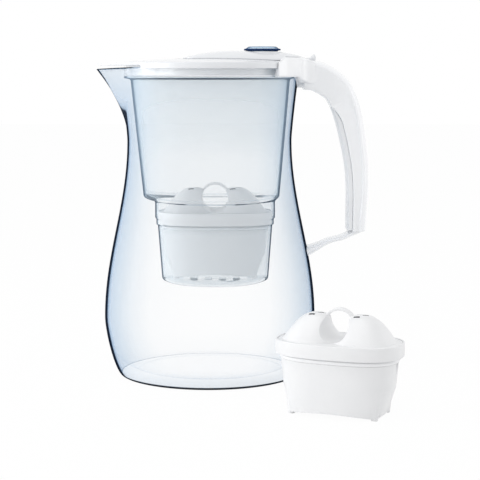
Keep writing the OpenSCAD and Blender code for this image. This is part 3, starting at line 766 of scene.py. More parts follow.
class Finish(Enum):
    """The finishes of this pitcher; each value is the recipe of its material."""

    # The clear finishes turn near-black at their edges: a painted dark line in place of refraction and
    # total internal reflection. The paler blues before it are the plastic's own tint.
    CLEAR_JUG = ClearPlastic(
        "jug_clear",
        ((0.0, (0.41, 0.57, 0.72), 0.008), (0.185, (0.41, 0.57, 0.72), 0.026),
         (0.34, (0.41, 0.57, 0.72), 0.12), (0.485, (0.40, 0.55, 0.70), 0.25),
         (0.695, (0.37, 0.51, 0.68), 0.41), (0.765, (0.2, 0.33, 0.5), 0.50),
         (0.795, (0.008, 0.015, 0.03), 0.97), (1.0, (0.006, 0.01, 0.02), 1.0)),
        ((0.0, (0.7, 0.82, 0.93), 0.006), (0.6, (0.50, 0.66, 0.80), 0.03),
         (0.8, (0.42, 0.60, 0.80), 0.025), (0.94, (0.36, 0.56, 0.80), 0.08),
         (1.0, (0.18, 0.34, 0.58), 0.28)),
        0.05, gloss=0.05, line_lift=0.9)
    FROSTED = ClearPlastic(
        "funnel_frosted",
        ((0.0, (0.80, 0.88, 0.93), 0.32), (0.45, (0.78, 0.86, 0.92), 0.37),
         (0.68, (0.62, 0.71, 0.79), 0.52), (0.76, (0.10, 0.13, 0.17), 0.94),
         (1.0, (0.04, 0.055, 0.08), 1.0)),
        ((0.0, (0.84, 0.92, 0.97), 0.23), (0.8, (0.80, 0.89, 0.95), 0.31),
         (1.0, (0.68, 0.78, 0.86), 0.45)),
        # rise paints light and shade by height: less cover, so a paler funnel, in the middle of the
        # hopper, and more cover, so a darker one, towards the top where the lid shades it; clear_from
        # thins the collar above its top so that the lid's skirt behind it shows lighter, which is
        # painted light as well
        0.38, gloss=0.15, clear_from=0.2495,
        rise=((0.081, 0.58), (0.118, 0.60), (0.124, 0.80), (0.128, 0.36), (0.146, 0.36),
              (0.155, 0.36), (0.180, 0.38), (0.200, 0.62), (0.223, 0.76), (0.245, 1.0)),
        grain_depth=0.00002)
    BLUE_DIAL = ClearPlastic(
        "dial_clear_blue",
        ((0.0, (0.56, 0.78, 0.95), 0.40), (0.6, (0.46, 0.68, 0.90), 0.55),
         (0.85, (0.02, 0.05, 0.14), 0.95), (1.0, (0.01, 0.02, 0.06), 1.0)),
        ((0.0, (0.50, 0.72, 0.92), 0.45), (1.0, (0.10, 0.24, 0.46), 0.9)),
        0.12, line_lift=0.9)
    # The next two are one gloss white plastic in a lit and a shaded copy: the brighter one is painted
    # light on the handle and on the lid's skirt, the darker one is painted shade on the lid, the flip
    # cover and their small parts.
    HANDLE_WHITE = OpaquePlastic("painted_lit_white", (0.93, 0.94, 0.955), (0.90, 0.91, 0.93), 0.2, coat=0.5)
    LID_WHITE = OpaquePlastic("painted_shade_white", (0.76, 0.775, 0.80), (0.735, 0.75, 0.775), 0.22, coat=0.4)
    # near-black painted shade for the floors and walls of the cap's slits
    SLIT_DARK = OpaquePlastic("painted_slit_shade", (0.03, 0.03, 0.033), (0.025, 0.025, 0.03), 0.6)
    SATIN_WHITE = OpaquePlastic("satin_white", (0.84, 0.85, 0.865), (0.81, 0.82, 0.84), 0.36,
                                coat=0.15, grain_depth=0.00002)
    CARTRIDGE = OpaquePlastic("cartridge_white", (0.815, 0.82, 0.83), (0.785, 0.79, 0.80), 0.34,
                              coat=0.1, grain_depth=0.00002)
    SEAL = OpaquePlastic("seal_soft", (0.88, 0.885, 0.895), (0.86, 0.865, 0.88), 0.5)
    BED = Granules("granule_bed", (0.03, 0.03, 0.035), (0.42, 0.36, 0.22))
    FLEECE = Fleece("needled_fleece", (0.82, 0.82, 0.80), (0.66, 0.66, 0.64))
    INK = OpaquePlastic("dial_ink", (0.05, 0.12, 0.28), (0.06, 0.14, 0.32), 0.5)

    def material(self) -> bpy.types.Material:
        """This finish's material, made on first use."""
        return bpy.data.materials.get(self.value.name) or self.value.build()

    def dress(self, thing: bpy.types.Object) -> None:
        """Gives a piece this finish on all its faces."""
        thing.data.materials.clear()
        thing.data.materials.append(self.material())

    def touch(self, thing: bpy.types.Object, where: Callable[[np.ndarray], np.ndarray]) -> None:
        """Gives this finish to some of a piece's faces.

        Args:
            thing: Piece that has its main finish already.
            where: Tells for each row of face centres in millimetres whether it takes the finish.
        """
        thing.data.materials.append(self.material())
        count = len(thing.data.polygons)
        centre, index = np.empty(count * 3), np.empty(count, dtype=np.int32)
        thing.data.polygons.foreach_get("center", centre)
        thing.data.polygons.foreach_get("material_index", index)
        index[where(centre.reshape(-1, 3) / MM)] = len(thing.data.materials) - 1
        thing.data.polygons.foreach_set("material_index", index)


# ---- Jug and handle ----


@dataclass(frozen=True)
class Jug:
    """Clear hourglass jug with a pulled spout, a thick foot corner and two lugs for the handle.

    Radii and heights are those of its outside. The step and the recess are in the floor's upper
    and under side, the dip is in the rim over the spout, and notch is half the angle that the
    lid and the funnel leave free there.
    """

    rim_z: float = 257.5
    foot_r: float = 76.0
    belly_r: float = 89.0
    belly_z: float = 47.0
    foot_n: float = 1.4
    waist_r: float = 68.8
    waist_z: float = 198.0
    rim_r: float = 75.3
    flare_n: float = 1.2
    roll: float = 1.2
    wall: float = 2.5
    floor_z: float = 6.0
    step_r: float = 48.0
    step_h: float = 1.2
    step_slope: float = 1.0
    recess_r: float = 60.5
    recess_h: float = 2.5
    recess_slope: float = 3.0
    foot_edge: float = 1.2
    corner_h: float = 16.0
    corner_fill: float = 14.0
    spout_out: float = 20.3
    spout_n: float = 1.6
    spout_z: float = 205.0
    dip: float = 1.2
    dip_half: float = 40.0
    dip_z: float = 240.0
    tip_round: float = 0.016
    tip_crowd: float = 0.72
    notch: float = 46.0
    foot_joint_z: float = 104.5
    top_lug_z: float = 246.5
    lug_out: float = 3.2
    lug_half: float = 5.0
    lug_h: float = 4.0

    def outside(self, z: np.ndarray) -> np.ndarray:
        """Radius at a height: a rounded foot, a cosine belly and a flare above the waist.

        Args:
            z: Heights.

        Returns:
            Radius of the outside at each, away from the spout.
        """
        share = np.clip(z / self.belly_z, 0, 1)
        bow = (1 - (1 - share) ** self.foot_n) ** (1 / self.foot_n)
        foot = self.foot_r + (self.belly_r - self.foot_r) * bow
        up = np.clip((z - self.belly_z) / (self.waist_z - self.belly_z), 0, 1)
        belly = self.belly_r - (self.belly_r - self.waist_r) * (1 - np.cos(np.pi * up)) / 2
        flare = np.clip((z - self.waist_z) / (self.rim_z - self.waist_z), 0, None) ** self.flare_n
        neck = self.waist_r + (self.rim_r - self.waist_r) * flare
        return np.select([z <= self.belly_z, z <= self.waist_z], [foot, belly], neck)

    def pulled(self, z: np.ndarray, phi: np.ndarray) -> np.ndarray:
        """Radius with the spout: a circle with two tangents that meet at the spout's tip.

        Args:
            z: Heights.
            phi: Angles round the axis, with the spout at pi.

        Returns:
            Radius of the outside at each.
        """
        r = self.outside(z)
        rise = np.clip((z - self.spout_z) / (self.rim_z - self.spout_z), 0, None)
        wide = np.arccos(r / (r + self.spout_out * rise**self.spout_n))
        off = np.hypot(phi - np.pi, self.tip_round)
        return np.where(off >= wide, r, r / np.cos(np.maximum(wide - off, 0)))

    def around(self) -> np.ndarray:
        """Angles round the jug, closer together at the spout's tip."""
        even = turn(288)
        return even + self.tip_crowd * np.sin(even)

    def dipped(self, off: np.ndarray) -> np.ndarray:
        """How far the rim dips at an angle off the spout's tip: a parabola that ends at dip_half."""
        return self.dip * np.clip(1 - off / math.radians(self.dip_half), 0, 1) ** 2

    def dip_share(self, z: np.ndarray) -> np.ndarray:
        """Share of the rim's dip that the wall has at a height."""
        return ease((z - self.dip_z) / (self.rim_z - self.dip_z))

    def wall_skin(self) -> Skin:
        """Skin of the jug: underside, outside, rolled rim, inside with its thick corner, and floor.

        Returns:
            Vertices and faces of rings that all have the angles of the spout's outline.
        """
        phi = self.around()
        low = self.belly_z * np.linspace(0, 1, 22)[1:] ** 2
        high = np.linspace(self.belly_z, self.rim_z - self.roll, 76)[1:]
        up = np.concatenate([low, high])[:, None]
        dip = self.dipped(np.abs(phi - np.pi))
        outer_r = self.pulled(up, phi)
        roll = np.linspace(0, np.pi, 9)[1:-1][:, None]
        inner_share = 1 - self.wall / self.rim_r
        rim_r = self.pulled(np.array([[self.rim_z]]), phi)
        roll_r = rim_r * (1 + inner_share) / 2 + rim_r * (1 - inner_share) / 2 * np.cos(roll)
        roll_z = self.rim_z - self.roll + self.roll * np.sin(roll) - dip
        down = np.concatenate([high[::-1], self.floor_z + (self.belly_z - self.floor_z) *
                               np.linspace(1, 0, 22) ** 2])[:, None]
        corner = self.corner_fill * np.clip(1 - (down - self.floor_z) / self.corner_h, 0, None) ** 2
        thin = 1 - (self.wall + corner) / self.outside(down)
        flat = 0 * phi
        step_z = self.floor_z + self.step_h
        floor = [(self.step_r + self.step_slope, self.floor_z), (self.step_r, step_z),
                 (self.step_r * 0.5, step_z)]
        under = [(self.recess_r * 0.5, self.recess_h), (self.recess_r, self.recess_h),
                 (self.recess_r + self.recess_slope, 0), (self.foot_r - self.foot_edge, 0),
                 (self.foot_r, 0)]
        inner_r = self.pulled(down, phi) * thin
        radius = np.vstack([r + flat for r, _ in under] + [outer_r, roll_r, inner_r]
                           + [r + flat for r, _ in floor])
        outer_z, inner_z = up - dip * self.dip_share(up), down - dip * self.dip_share(down)
        height = np.vstack([z + flat for _, z in under] + [outer_z, roll_z, inner_z]
                           + [z + flat for _, z in floor])
        return skin(np.stack([radius * np.cos(phi), radius * np.sin(phi), height], axis=-1))

    def painted_dark_line(self, places: np.ndarray) -> np.ndarray:
        """Where the painted dark line goes: the foot's edge, the spout's ridge and its rim, darkened in
        place of the refraction and total internal reflection in the thick clear plastic.

        Args:
            places: Rows of x, y and z.

        Returns:
            A share from 0 to 1 for each, the largest of four that each fade with a smooth step.
        """
        # every share here is painted dark line: the foot's edge, a softer painted darkening up the
        # thick foot corner that is weaker on the far side, the spout's ridge and the rim over the spout
        line_h, line_fade = 1.9, 1.2
        glow, glow_z, glow_fade = 0.60, 3, 22
        far_share, side_fade = 0.25, 40
        ridge_z, ridge_w, ridge_more, ridge_fade = self.spout_z + 20, 0.35, 0.85, 0.4
        rim_h, rim_fade, rim_half, rim_end = 1.0, 0.3, math.radians(38), math.radians(3)
        x, y, z = places.T
        off = np.abs(np.arctan2(y, -x))
        near = far_share + (1 - far_share) * ease((side_fade / 2 - y) / side_fade)
        outer = np.hypot(x, y) > self.foot_r - 0.7
        foot = (1 - ease((z - line_h) / line_fade)) * near * outer
        thick = glow * (1 - ease((z - glow_z) / glow_fade)) * near * outer
        tip = self.pulled(z, np.full_like(z, np.pi))
        wide = ridge_w + ridge_more * ease((z - ridge_z) / 28)
        ridge = ease((-x - tip + wide) / ridge_fade) * ease((z - ridge_z) / 20)
        above = z - self.rim_z + self.dipped(off) + rim_h
        rim = ease(above / rim_fade) * ease((rim_half - off) / rim_end)
        return np.maximum.reduce([foot, thick, ridge, rim])

    def lug_skin(self, z: float) -> Skin:
        """Lug on the handle side that the handle is pushed over.

        Args:
            z: Height that its place is counted from.

        Returns:
            Vertices and faces, which start inside the jug's wall.
        """
        r = float(self.outside(np.array([z]))[0])
        low = z + 2
        return block((r - 1, -self.lug_half, low), (r + self.lug_out, self.lug_half, low + self.lug_h))

    def build(self) -> list[bpy.types.Object]:
        """Makes and dresses the jug.

        Returns:
            The pieces made.
        """
        lugs = [self.lug_skin(self.top_lug_z), self.lug_skin(self.foot_joint_z - 4)]
        jug = piece("jug", joined([self.wall_skin(), *lugs]))
        mark_inner(jug, self.rim_z - 2, self.foot_r - 1)
        mark_line(jug, self.painted_dark_line)
        Finish.CLEAR_JUG.dress(jug)
        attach(jug, "root")
        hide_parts("jug_body")
        return [jug]


@dataclass(frozen=True)
class Handle:
    """White arched handle: a saddle round the rim, a channelled grip, a foot and a grip cover.

    Places along the grip and the foot are shares of the reach, of the height between the foot's
    joint and the rim and of the grip's thickness. The saddle stays clear of the lid's band by
    band_gap, its top falls outwards by saddle_fall, and its apron reaches down below the band,
    further in the middle.
    """

    jug: Jug
    lid: "Lid"
    reach: float = 124.3
    grip_w: float = 28.0
    root_more: float = 3.0
    root_to: float = 0.35
    grip_t: float = 17.8
    cover_t: float = 4.6
    channel: float = 1.1
    channel_from: float = 0.28
    cover_from: float = 0.36
    cover_to: float = 0.985
    foot_half: float = 10.5
    foot_more: float = 2.5
    foot_n: float = 2.4
    wrap: float = 44.0
    top_z: float = 265.8
    band_gap: float = 0.4
    saddle_t: float = 1.6
    saddle_out: float = 10.5
    saddle_half: float = 15.0
    saddle_fall: float = 0.32
    apron: float = 6.9
    apron_more: float = 9.0
    blend_n: int = 6
    edge: float = 1.4
    groove_half: float = 13.5
    groove_end: float = 91.5

    def stations(self, shares: list[tuple[float, float, float]]) -> np.ndarray:
        """Path rows from shares of the reach, of the height and of the grip's thickness.

        Args:
            shares: The three shares at each station.

        Returns:
            Rows of x, z and thickness in millimetres.
        """
        p = np.array(shares)
        x = self.jug.rim_r + (self.reach - self.jug.rim_r) * p[:, 0]
        z = self.jug.foot_joint_z + (self.jug.rim_z - self.jug.foot_joint_z) * p[:, 1]
        return np.stack([x, z, self.grip_t * p[:, 2]], axis=1)

    def grip_path(self) -> np.ndarray:
        """Path of the grip from the rim down to the foot.

        Returns:
            Rows of x, z and thickness.
        """
        return self.stations([(0.086, 0.961, 1.39), (0.3, 0.952, 1.42), (0.592, 0.895, 1.37),
                              (0.729, 0.83, 1.33), (0.831, 0.739, 1.28), (0.918, 0.605, 1.17),
                              (0.982, 0.467, 1.08), (1, 0.33, 1), (0.984, 0.186, 0.92),
                              (0.98, 0.108, 0.89)])

    def foot_path(self) -> np.ndarray:
        """Path of the foot from the grip's lower end in to the jug."""
        return self.stations([(1.04, 0.11, 0.28), (0.878, 0.090, 0.28), (0.749, 0.070, 0.25),
                              (0.504, 0.049, 0.25), (0.3, 0.0164, 0.36), (0.096, -0.011, 0.53)])

    def half_width(self, t: np.ndarray) -> np.ndarray:
        """Half width of the grip, wider at its root."""
        return self.grip_w / 2 + self.root_more * (1 - ease(t / self.root_to))

    def cover_depth(self, t: np.ndarray) -> np.ndarray:
        """Thickness of the grip cover at a station, which grows from its upper end."""
        grown = 0.3 + 0.7 * ease((t - self.cover_from) / 0.12)
        return np.where(t < self.cover_from, 0, self.cover_t * grown)

    def grip_skin(self) -> Skin:
        """Grip: a section with a channel along each side and a rounded back, along its path.

        Returns:
            Vertices and faces; the back follows w * cos^0.7 and back * sin of an angle.
        """
        t = np.linspace(0, 1, 91)[:, None]
        w, h = self.half_width(t), along(self.grip_path(), t[:, 0])[:, 2:] / 2
        back, low = 5, self.cover_depth(t) - h
        d, top = self.channel * ease((t - self.channel_from) / 0.2), h - back
        arc = np.radians(np.linspace(0, 86, 12))[None, 1:]
        y = np.hstack([w - 1.3, w - 0.3, w, w - d, w - d, w, w * np.cos(arc) ** 0.7])
        n = np.hstack([low, low + 0.4, low + 1.2, low + 3, top - 1, top, top + back * np.sin(arc)])
        return skin(swept(self.grip_path(), t[:, 0], *mirrored(y, n)))

    def cover_skin(self) -> Skin:
        """Grip cover: a shallow strip with rounded edges along the finger side.

        Returns:
            Vertices and faces, a seam's width away from the grip.
        """
        t = np.linspace(self.cover_from, self.cover_to, 61)[:, None]
        w, h = self.half_width(t) - 1, along(self.grip_path(), t[:, 0])[:, 2:] / 2
        high, bow, seam = self.cover_depth(t) - h, 2, 0.08
        arc = np.radians(np.linspace(0, 80, 6))[None, 1:]
        y = np.hstack([w - 0.5, w, w, w - 2 * bow * (1 - np.cos(arc)), w * 0.4])
        n = np.hstack([high, high - 0.3, bow - h, bow - h - bow * np.sin(arc), -h]) - seam
        return skin(swept(self.grip_path(), t[:, 0], *mirrored(y, n)))

    def foot_skin(self) -> Skin:
        """Foot: a flat oval bar that curves from the grip in to the jug's wall.

        Returns:
            Vertices and faces; the bar widens towards the jug.
        """
        t = np.linspace(0, 1, 33)[:, None]
        half = along(self.foot_path(), t[:, 0])[:, 2:] / 2
        wide = self.foot_half + self.foot_more * t
        y, n = oval(wide, half, np.full_like(t, self.foot_n), turn(160))
        return skin(swept(self.foot_path(), t[:, 0], y, n))

    def root_skin(self) -> Skin:
        """Saddle round the rim, whose outline blends into the grip's side.

        The outline's radius is (s^p + (w / sin phi)^p)^(1 / p), a smooth maximum of the saddle's
        radius s and of the straight side of a grip with half width w, held at the saddle's reach.

        Returns:
            Vertices and faces of sections that stand side by side round the rim.
        """
        phi = np.radians(np.linspace(-self.wrap, self.wrap, 97))[:, None]
        u = np.abs(phi) / math.radians(self.wrap)
        inner, p = self.lid.band_out + self.band_gap, self.blend_n
        plain = inner + self.saddle_t
        side = self.saddle_half / np.sin(np.maximum(np.abs(phi), 0.1))
        out = np.minimum((plain**p + side**p) ** (1 / p), plain + self.saddle_out)
        ends = self.lid.edge_z + self.band_gap
        top = ends + (self.top_z - self.lid.edge_z - self.band_gap) * ease((1 - u) / 0.14)
        low = self.lid.band_z - self.apron - self.apron_more * ease((0.5 - u) / 0.42)
        step = self.lid.band_z - self.band_gap
        a = np.radians(np.linspace(85, 0, 7))[None, :]
        edge, same = self.edge, np.ones_like(phi)
        wall_r = self.jug.outside(np.array([[step]])) + HAIR
        low_r = self.jug.outside(low) + HAIR
        shoulder = top - self.saddle_fall * (out - inner - self.saddle_t)
        r = np.hstack([wall_r * same, inner * same, inner * same, (inner + 0.5) * same,
                       (inner + 1.4) * same, out - edge + edge * np.cos(a),
                       out - edge + edge * np.cos(a[:, ::-1]), low_r])
        z = np.hstack([step * same, step * same, top - 0.5, top, top,
                       shoulder - edge + edge * np.sin(a),
                       low + edge - edge * np.sin(a[:, ::-1]), low])
        return skin(np.stack([r * np.cos(phi), r * np.sin(phi), z], axis=-1))

    def build(self) -> list[bpy.types.Object]:
        """Makes and dresses the handle's shell and its grip cover.

        Returns:
            The pieces made.
        """
        shell = piece("handle", self.root_skin())
        carve(shell, [piece("grip", self.grip_skin()), piece("foot", self.foot_skin())], add=True)
        low = self.lid.tail_z - self.band_gap
        groove = piece("groove", block((70, -self.groove_half, low),
                                       (self.groove_end, self.groove_half, self.lid.tail_z + 12)))
        jug_solid = piece("jug_solid", revolve(self.inside_profile()))
        carve(shell, [groove, jug_solid])
        soften(shell, 0.4, angle=42)
        cover = piece("grip_cover", self.cover_skin())
        # the shell takes the lit copy of the white plastic, painted light
        Finish.HANDLE_WHITE.dress(shell)
        Finish.SATIN_WHITE.dress(cover)
        for thing, node, slot in ((shell, "handle_shell", "white_gloss_plastic"),
                                  (cover, "handle_grip_cover", "white_satin_plastic")):
            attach(thing, "root")
            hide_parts(node)
        return [shell, cover]

    def inside_profile(self) -> np.ndarray:
        """Profile of the jug's outside with a hair of clearance, which the foot is cut to."""
        z = np.linspace(20, self.lid.band_z - 1, 60)
        return np.stack([self.jug.outside(z) + HAIR, z], axis=1)


# ---- Funnel and lid ----


@dataclass(frozen=True)
class Funnel:
    """Frosted funnel: a lip on the rim, a round collar, an oval hopper and a socket.

    Each part has its half length a, half width b and power n. The socket steps in to its low
    half at the seat, where the cartridge's flange rests.
    """

    jug: Jug
    wall: float = 1.7
    collar_r: float = 71.2
    lip_w: float = 3.4
    lip_z: float = 257.7
    lip_t: float = 1.2
    collar_z: float = 248.7
    hopper_a: float = 66.4
    hopper_b: float = 56.0
    hopper_n: float = 2.5
    taper: float = 8.3
    hopper_z: float = 151.5
    hopper_x: float = 1.7
    drop: float = 4.6
    socket_x: float = 4.6
    socket_z: float = 146.0
    seat_z: float = 127.0
    socket_a: float = 48.8
    socket_b: float = 30.8
    low_a: float = 46.6
    low_b: float = 28.6
    socket_n: float = 2.6
    socket_taper: float = 3.5
    socket_drop: float = 3.5
    flange_room: float = 0.7
    flange_h: float = 4.0
    floor_z: float = 81.0
    slots: int = 5
    slot_pitch: float = 12.0
    slot_half: float = 3.0
    slot_half_l: float = 7.0

    def keys(self) -> tuple[np.ndarray, np.ndarray]:
        """Rings from the underside of the socket up outside, over the lip and down inside.

        Returns:
            Rows of length, height, width, power, centre, drop and lip, and each corner's fillet.
        """
        w, sx, hx = self.wall, self.socket_x, self.hopper_x
        low_a, low_b = self.low_a - self.socket_taper, self.low_b - self.socket_taper
        bottom, depth = self.hopper_a - self.taper, self.hopper_b - self.taper + 1
        r, n, hn = self.collar_r, self.socket_n, self.hopper_n
        top, more, ledge = self.lip_z + self.lip_t, self.flange_room, self.seat_z + self.flange_h
        rows = [
            (low_a * 0.5, self.floor_z - w, low_b * 0.5, n, sx, self.socket_drop * 0.5, 0, 0),
            (low_a + w, self.floor_z - w, low_b + w, n, sx, self.socket_drop, 0, 2.4),
            (self.low_a + w, self.seat_z - 1, self.low_b + w, n, sx, 0, 0, 0.5),
            (self.socket_a + more, self.seat_z - 0.4, self.socket_b + more, n, sx, 0, 0, 0.3),
            (self.socket_a + more, ledge, self.socket_b + more, n, sx, 0, 0, 0.5),
            (self.socket_a + w, ledge + 1.2, self.socket_b + w, n, sx, 0, 0, 0.5),
            (self.socket_a + w, self.socket_z, self.socket_b + w, n, sx, 0, 0, 1.5),
            (bottom - 1, self.hopper_z - 1.4, depth - 1, hn, hx, self.drop, 0, 1.4),
            (self.hopper_a, self.collar_z - 1, self.hopper_b, hn, hx / 2, 0, 0, 1.5),
            (r, self.collar_z, r, 2, 0, 0, 0, 0.8),
            (r, self.lip_z, r, 2, 0, 0, 0, 0.2),
            (r, self.lip_z, r, 2, 0, 0, 1, 0.3),
            (r, top, r, 2, 0, 0, 1, 0.5),
            (r - w, top, r - w, 2, 0, 0, 0, 0.4),
            (r - w, self.collar_z + w, r - w, 2, 0, 0, 0, 0.8),
            (self.hopper_a - w, self.collar_z + w - 1, self.hopper_b - w, hn, hx / 2, 0, 0, 1.2),
            (bottom - w, self.hopper_z + w, depth - w, hn, hx, self.drop, 0, 2.5),
            (self.socket_a, self.socket_z + w, self.socket_b, n, sx, 0, 0, 1.2),
            (self.socket_a, self.seat_z - 0.2, self.socket_b, n, sx, 0, 0, 0.4),
            (self.low_a, self.seat_z - 0.25, self.low_b, n, sx, 0, 0, 0.4),
            (low_a, self.floor_z, low_b, n, sx, self.socket_drop, 0, 2),
            (low_a * 0.5, self.floor_z, low_b * 0.5, n, sx, self.socket_drop * 0.5, 0, 0)]
        table = np.array(rows, dtype=float)
        return table[:, :7], table[:, 7]

    def skin(self) -> Skin:
        """Superellipse rings; the front and back of a ring drop by its drop times sin^2 of the angle.

        Returns:
            Vertices and faces, with the lip left out over the spout.
        """
        keys, fillets = self.keys()
        lifted = keys.copy()
        lifted[:, 0] += keys[:, 6] * self.lip_w
        rows = rounded(lifted, fillets)
        t = turn(192)
        a, z, b, n, x0, drop, lip = (rows[:, k:k + 1] for k in range(7))
        a = a - lip * self.lip_w
        off = np.abs(t - np.pi) - math.radians(self.jug.notch)
        out = lip * self.lip_w * ease(off / math.radians(3) + 0.5)
        x, y = oval(a + out, b + out, n, t)
        return skin(np.stack([x + x0, y, z - drop * np.sin(t) ** 2], axis=-1))

    def build(self) -> list[bpy.types.Object]:
        """Makes and dresses the funnel.

        Returns:
            The pieces made.
        """
        funnel = piece("funnel_shell", self.skin())
        places = self.socket_x + self.slot_pitch * (np.arange(self.slots) - self.slots // 2)
        slots = [block((x - self.slot_half, -self.slot_half_l, self.floor_z - 10),
                       (x + self.slot_half, self.slot_half_l, self.floor_z + 10)) for x in places]
        carve(funnel, [piece("slots", joined(slots))])
        mark_inner(funnel, self.lip_z)
        mark_line(funnel, lambda places: np.zeros(len(places)))
        Finish.FROSTED.dress(funnel)
        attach(funnel, "funnel")
        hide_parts("funnel")
        return [funnel]


@dataclass(frozen=True)
class Lid:
    """Round white lid: a band over the rim, a tongue over the spout, a skirt, an opening and ears.

    The band ends at edge_z above and at band_z below. tail_z is the height that the flip cover's
    tail rests at, over the handle's groove.
    """

    jug: Jug
    band_in: float = 75.6
    band_out: float = 77.1
    band_z: float = 256.5
    edge_z: float = 261.5
    crown: float = 3.5
    plate: float = 2.4
    plate_z: float = 259.1
    skirt_r: float = 69.1
    skirt_t: float = 1.8
    skirt_z: float = 250.8
    tail_z: float = 263.1
    notch_r: float = 72.8
    tongue_r: float = 71.2
    tongue_t: float = 1.7
    tongue_root_t: float = 2.5
    tongue_in: float = 0.4
    fill_w: float = 46.0
    fill_l: float = 68.0
    fill_x: float = -16.3
    hinge_x: float = 24.5
    hinge_y: float = 19.2
    hinge_z: float = 262.3
    pocket_r: float = 3.7
    pocket_from: float = 13.6
    pocket_to: float = 25.2
    ear_r: float = 2.3
    ear_t: float = 3.8
    ear_gap: float = 0.2
    pin_r: float = 1.5

    def crown_z(self, r: np.ndarray | float) -> np.ndarray | float:
        """Height of the lid's crown at a radius: a shallow parabola."""
        return self.edge_z + self.crown * (1 - (r / self.band_out) ** 2)

    def disc_skin(self) -> Skin:
        """Lid without its openings: a turned profile whose band is cut back at the spout.

        Returns:
            Vertices and faces.
        """
        radii = np.linspace(6, self.band_out - 1.6, 15)
        corner = np.array([
            (self.band_out, self.crown_z(self.band_out - 1.6) - 0.3), (self.band_out, self.band_z),
            (self.band_in, self.band_z), (self.band_in, self.plate_z), (self.skirt_r, self.plate_z),
            (self.skirt_r, self.skirt_z), (self.skirt_r - self.skirt_t, self.skirt_z),
            (self.skirt_r - self.skirt_t, self.crown_z(self.skirt_r) - self.plate)])
        under = radii[radii < self.skirt_r - 3][::-1]
        keys = np.vstack([np.stack([radii, self.crown_z(radii)], axis=1), corner,
                          np.stack([under, self.crown_z(under) - self.plate], axis=1)])
        fillets = np.zeros(len(keys))
        fillets[len(radii):len(radii) + 8] = (1.1, 0.35, 0.3, 0.3, 0.3, 0.5, 0.5, 1.0)
        profile = rounded(keys, fillets)
        half = math.radians(self.jug.notch)
        phi = np.concatenate([np.linspace(-np.pi + half, np.pi - half, 200),
                              np.linspace(np.pi - half, np.pi + half, 70)[:-1] + 1e-4])[None, :]
        cut = phi > np.pi - half
        r, z = profile[:, :1], profile[:, 1:2]
        raised = np.where(r > self.notch_r, np.maximum(z, self.plate_z), z)
        z = np.where(cut, raised, z)
        r = np.where(cut, np.minimum(r, self.notch_r), r)
        return skin(np.stack([r * np.cos(phi), r * np.sin(phi), z], axis=-1))

    def tongue_skin(self) -> Skin:
        """Thin tongue along the neck's outline, thinner and lower towards the spout's tip.

        Returns:
            Vertices and faces; each section reaches from the lid's edge out over the neck.
        """
        half = math.radians(self.jug.notch + 1.5)
        phi = math.pi + half * np.linspace(-1, 1, 121)[:, None] ** 3
        out = self.jug.pulled(np.array([[self.jug.rim_z]]), phi) - self.tongue_in
        reach = self.jug.rim_r + self.jug.spout_out - self.tongue_r
        share = np.array([[0.0, 1.0, 1.0, 1.0, 1.0, 0.0]])
        back = np.array([[0.0, 0.3, 0.0, 0.0, 0.5, 0.0]])
        rise = np.array([[0.0, 0.0, 0.2, 0.75, 1.0, 1.0]])
        r = self.tongue_r + (out - self.tongue_r) * share - back
        far = np.clip((-r * np.cos(phi) - self.tongue_r) / reach, 0, 1)
        thick = self.tongue_root_t + (self.tongue_t - self.tongue_root_t) * far
        return skin(np.stack([r * np.cos(phi), r * np.sin(phi), self.plate_z + thick * rise], axis=-1))

    def ear_skins(self, side: int) -> list[Skin]:
        """Bracket and eye of one hinge ear.

        Args:
            side: 1 for the ear on the +Y side, -1 for the other.

        Returns:
            The skins of its parts.
        """
        near = self.hinge_y + self.ear_gap
        y0, y1 = sorted((side * near, side * (near + self.ear_t)))
        x, foot = -self.hinge_x, self.hinge_z - 7.6
        return [lying(self.ear_r, y0, y1, x, self.hinge_z),
                block((x - 1.6, y0, foot), (x + 1.6, y1, self.hinge_z)),
                block((x - 9, y0, foot), (x + 1.6, y1, foot + 2.2)),
                block((x - 8.9, y0 + 0.1, foot + 0.1), (x - 6.6, y1 - 0.1, self.edge_z + 2))]

    def build(self) -> list[bpy.types.Object]:
        """Makes and dresses the lid.

        Returns:
            The pieces made.
        """
        lid = piece("lid", self.disc_skin())
        half, start = self.fill_w / 2, self.fill_x
        bottom, top = self.plate_z - 5, self.edge_z + 12
        t = np.linspace(-np.pi / 2, np.pi / 2, 40)
        x = np.concatenate([[start], start + self.fill_l - half + half * np.cos(t), [start]])
        y = np.concatenate([[-half], half * np.sin(t), [half]])
        opening = [np.stack([x, y, np.full_like(x, z)], axis=-1) for z in (bottom, top)]
        tools = [piece("opening", skin(np.array(opening)))]
        for side in (-1, 1):
            y0, y1 = sorted((side * self.pocket_from, side * self.pocket_to))
            b0, b1 = sorted((side * self.pocket_from, side * (self.hinge_y + 0.4)))
            pocket = lying(self.pocket_r, y0, y1, -self.hinge_x, self.hinge_z)
            slot = block((-self.hinge_x, b0, self.hinge_z - self.pocket_r), (start + 0.1, b1, top))
            tools += [piece("pocket", pocket), piece("slot", slot)]
        carve(lid, tools)
        carve(lid, [piece("tongue", self.tongue_skin())], add=True)
        ears = piece("hinge_ears", joined(self.ear_skins(1) + self.ear_skins(-1)))
        for thing in (lid, ears):
            # the lid and its ears take the shaded copy of the white plastic, painted shade
            Finish.LID_WHITE.dress(thing)
            # what hangs inside the clear neck gets less light, so it takes the brighter white
            Finish.HANDLE_WHITE.touch(thing, lambda places: places[:, 2] < self.band_z)
            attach(thing, "lid")
        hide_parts("lid_shell")
        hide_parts("lid_shell")
        return [lid, ears]


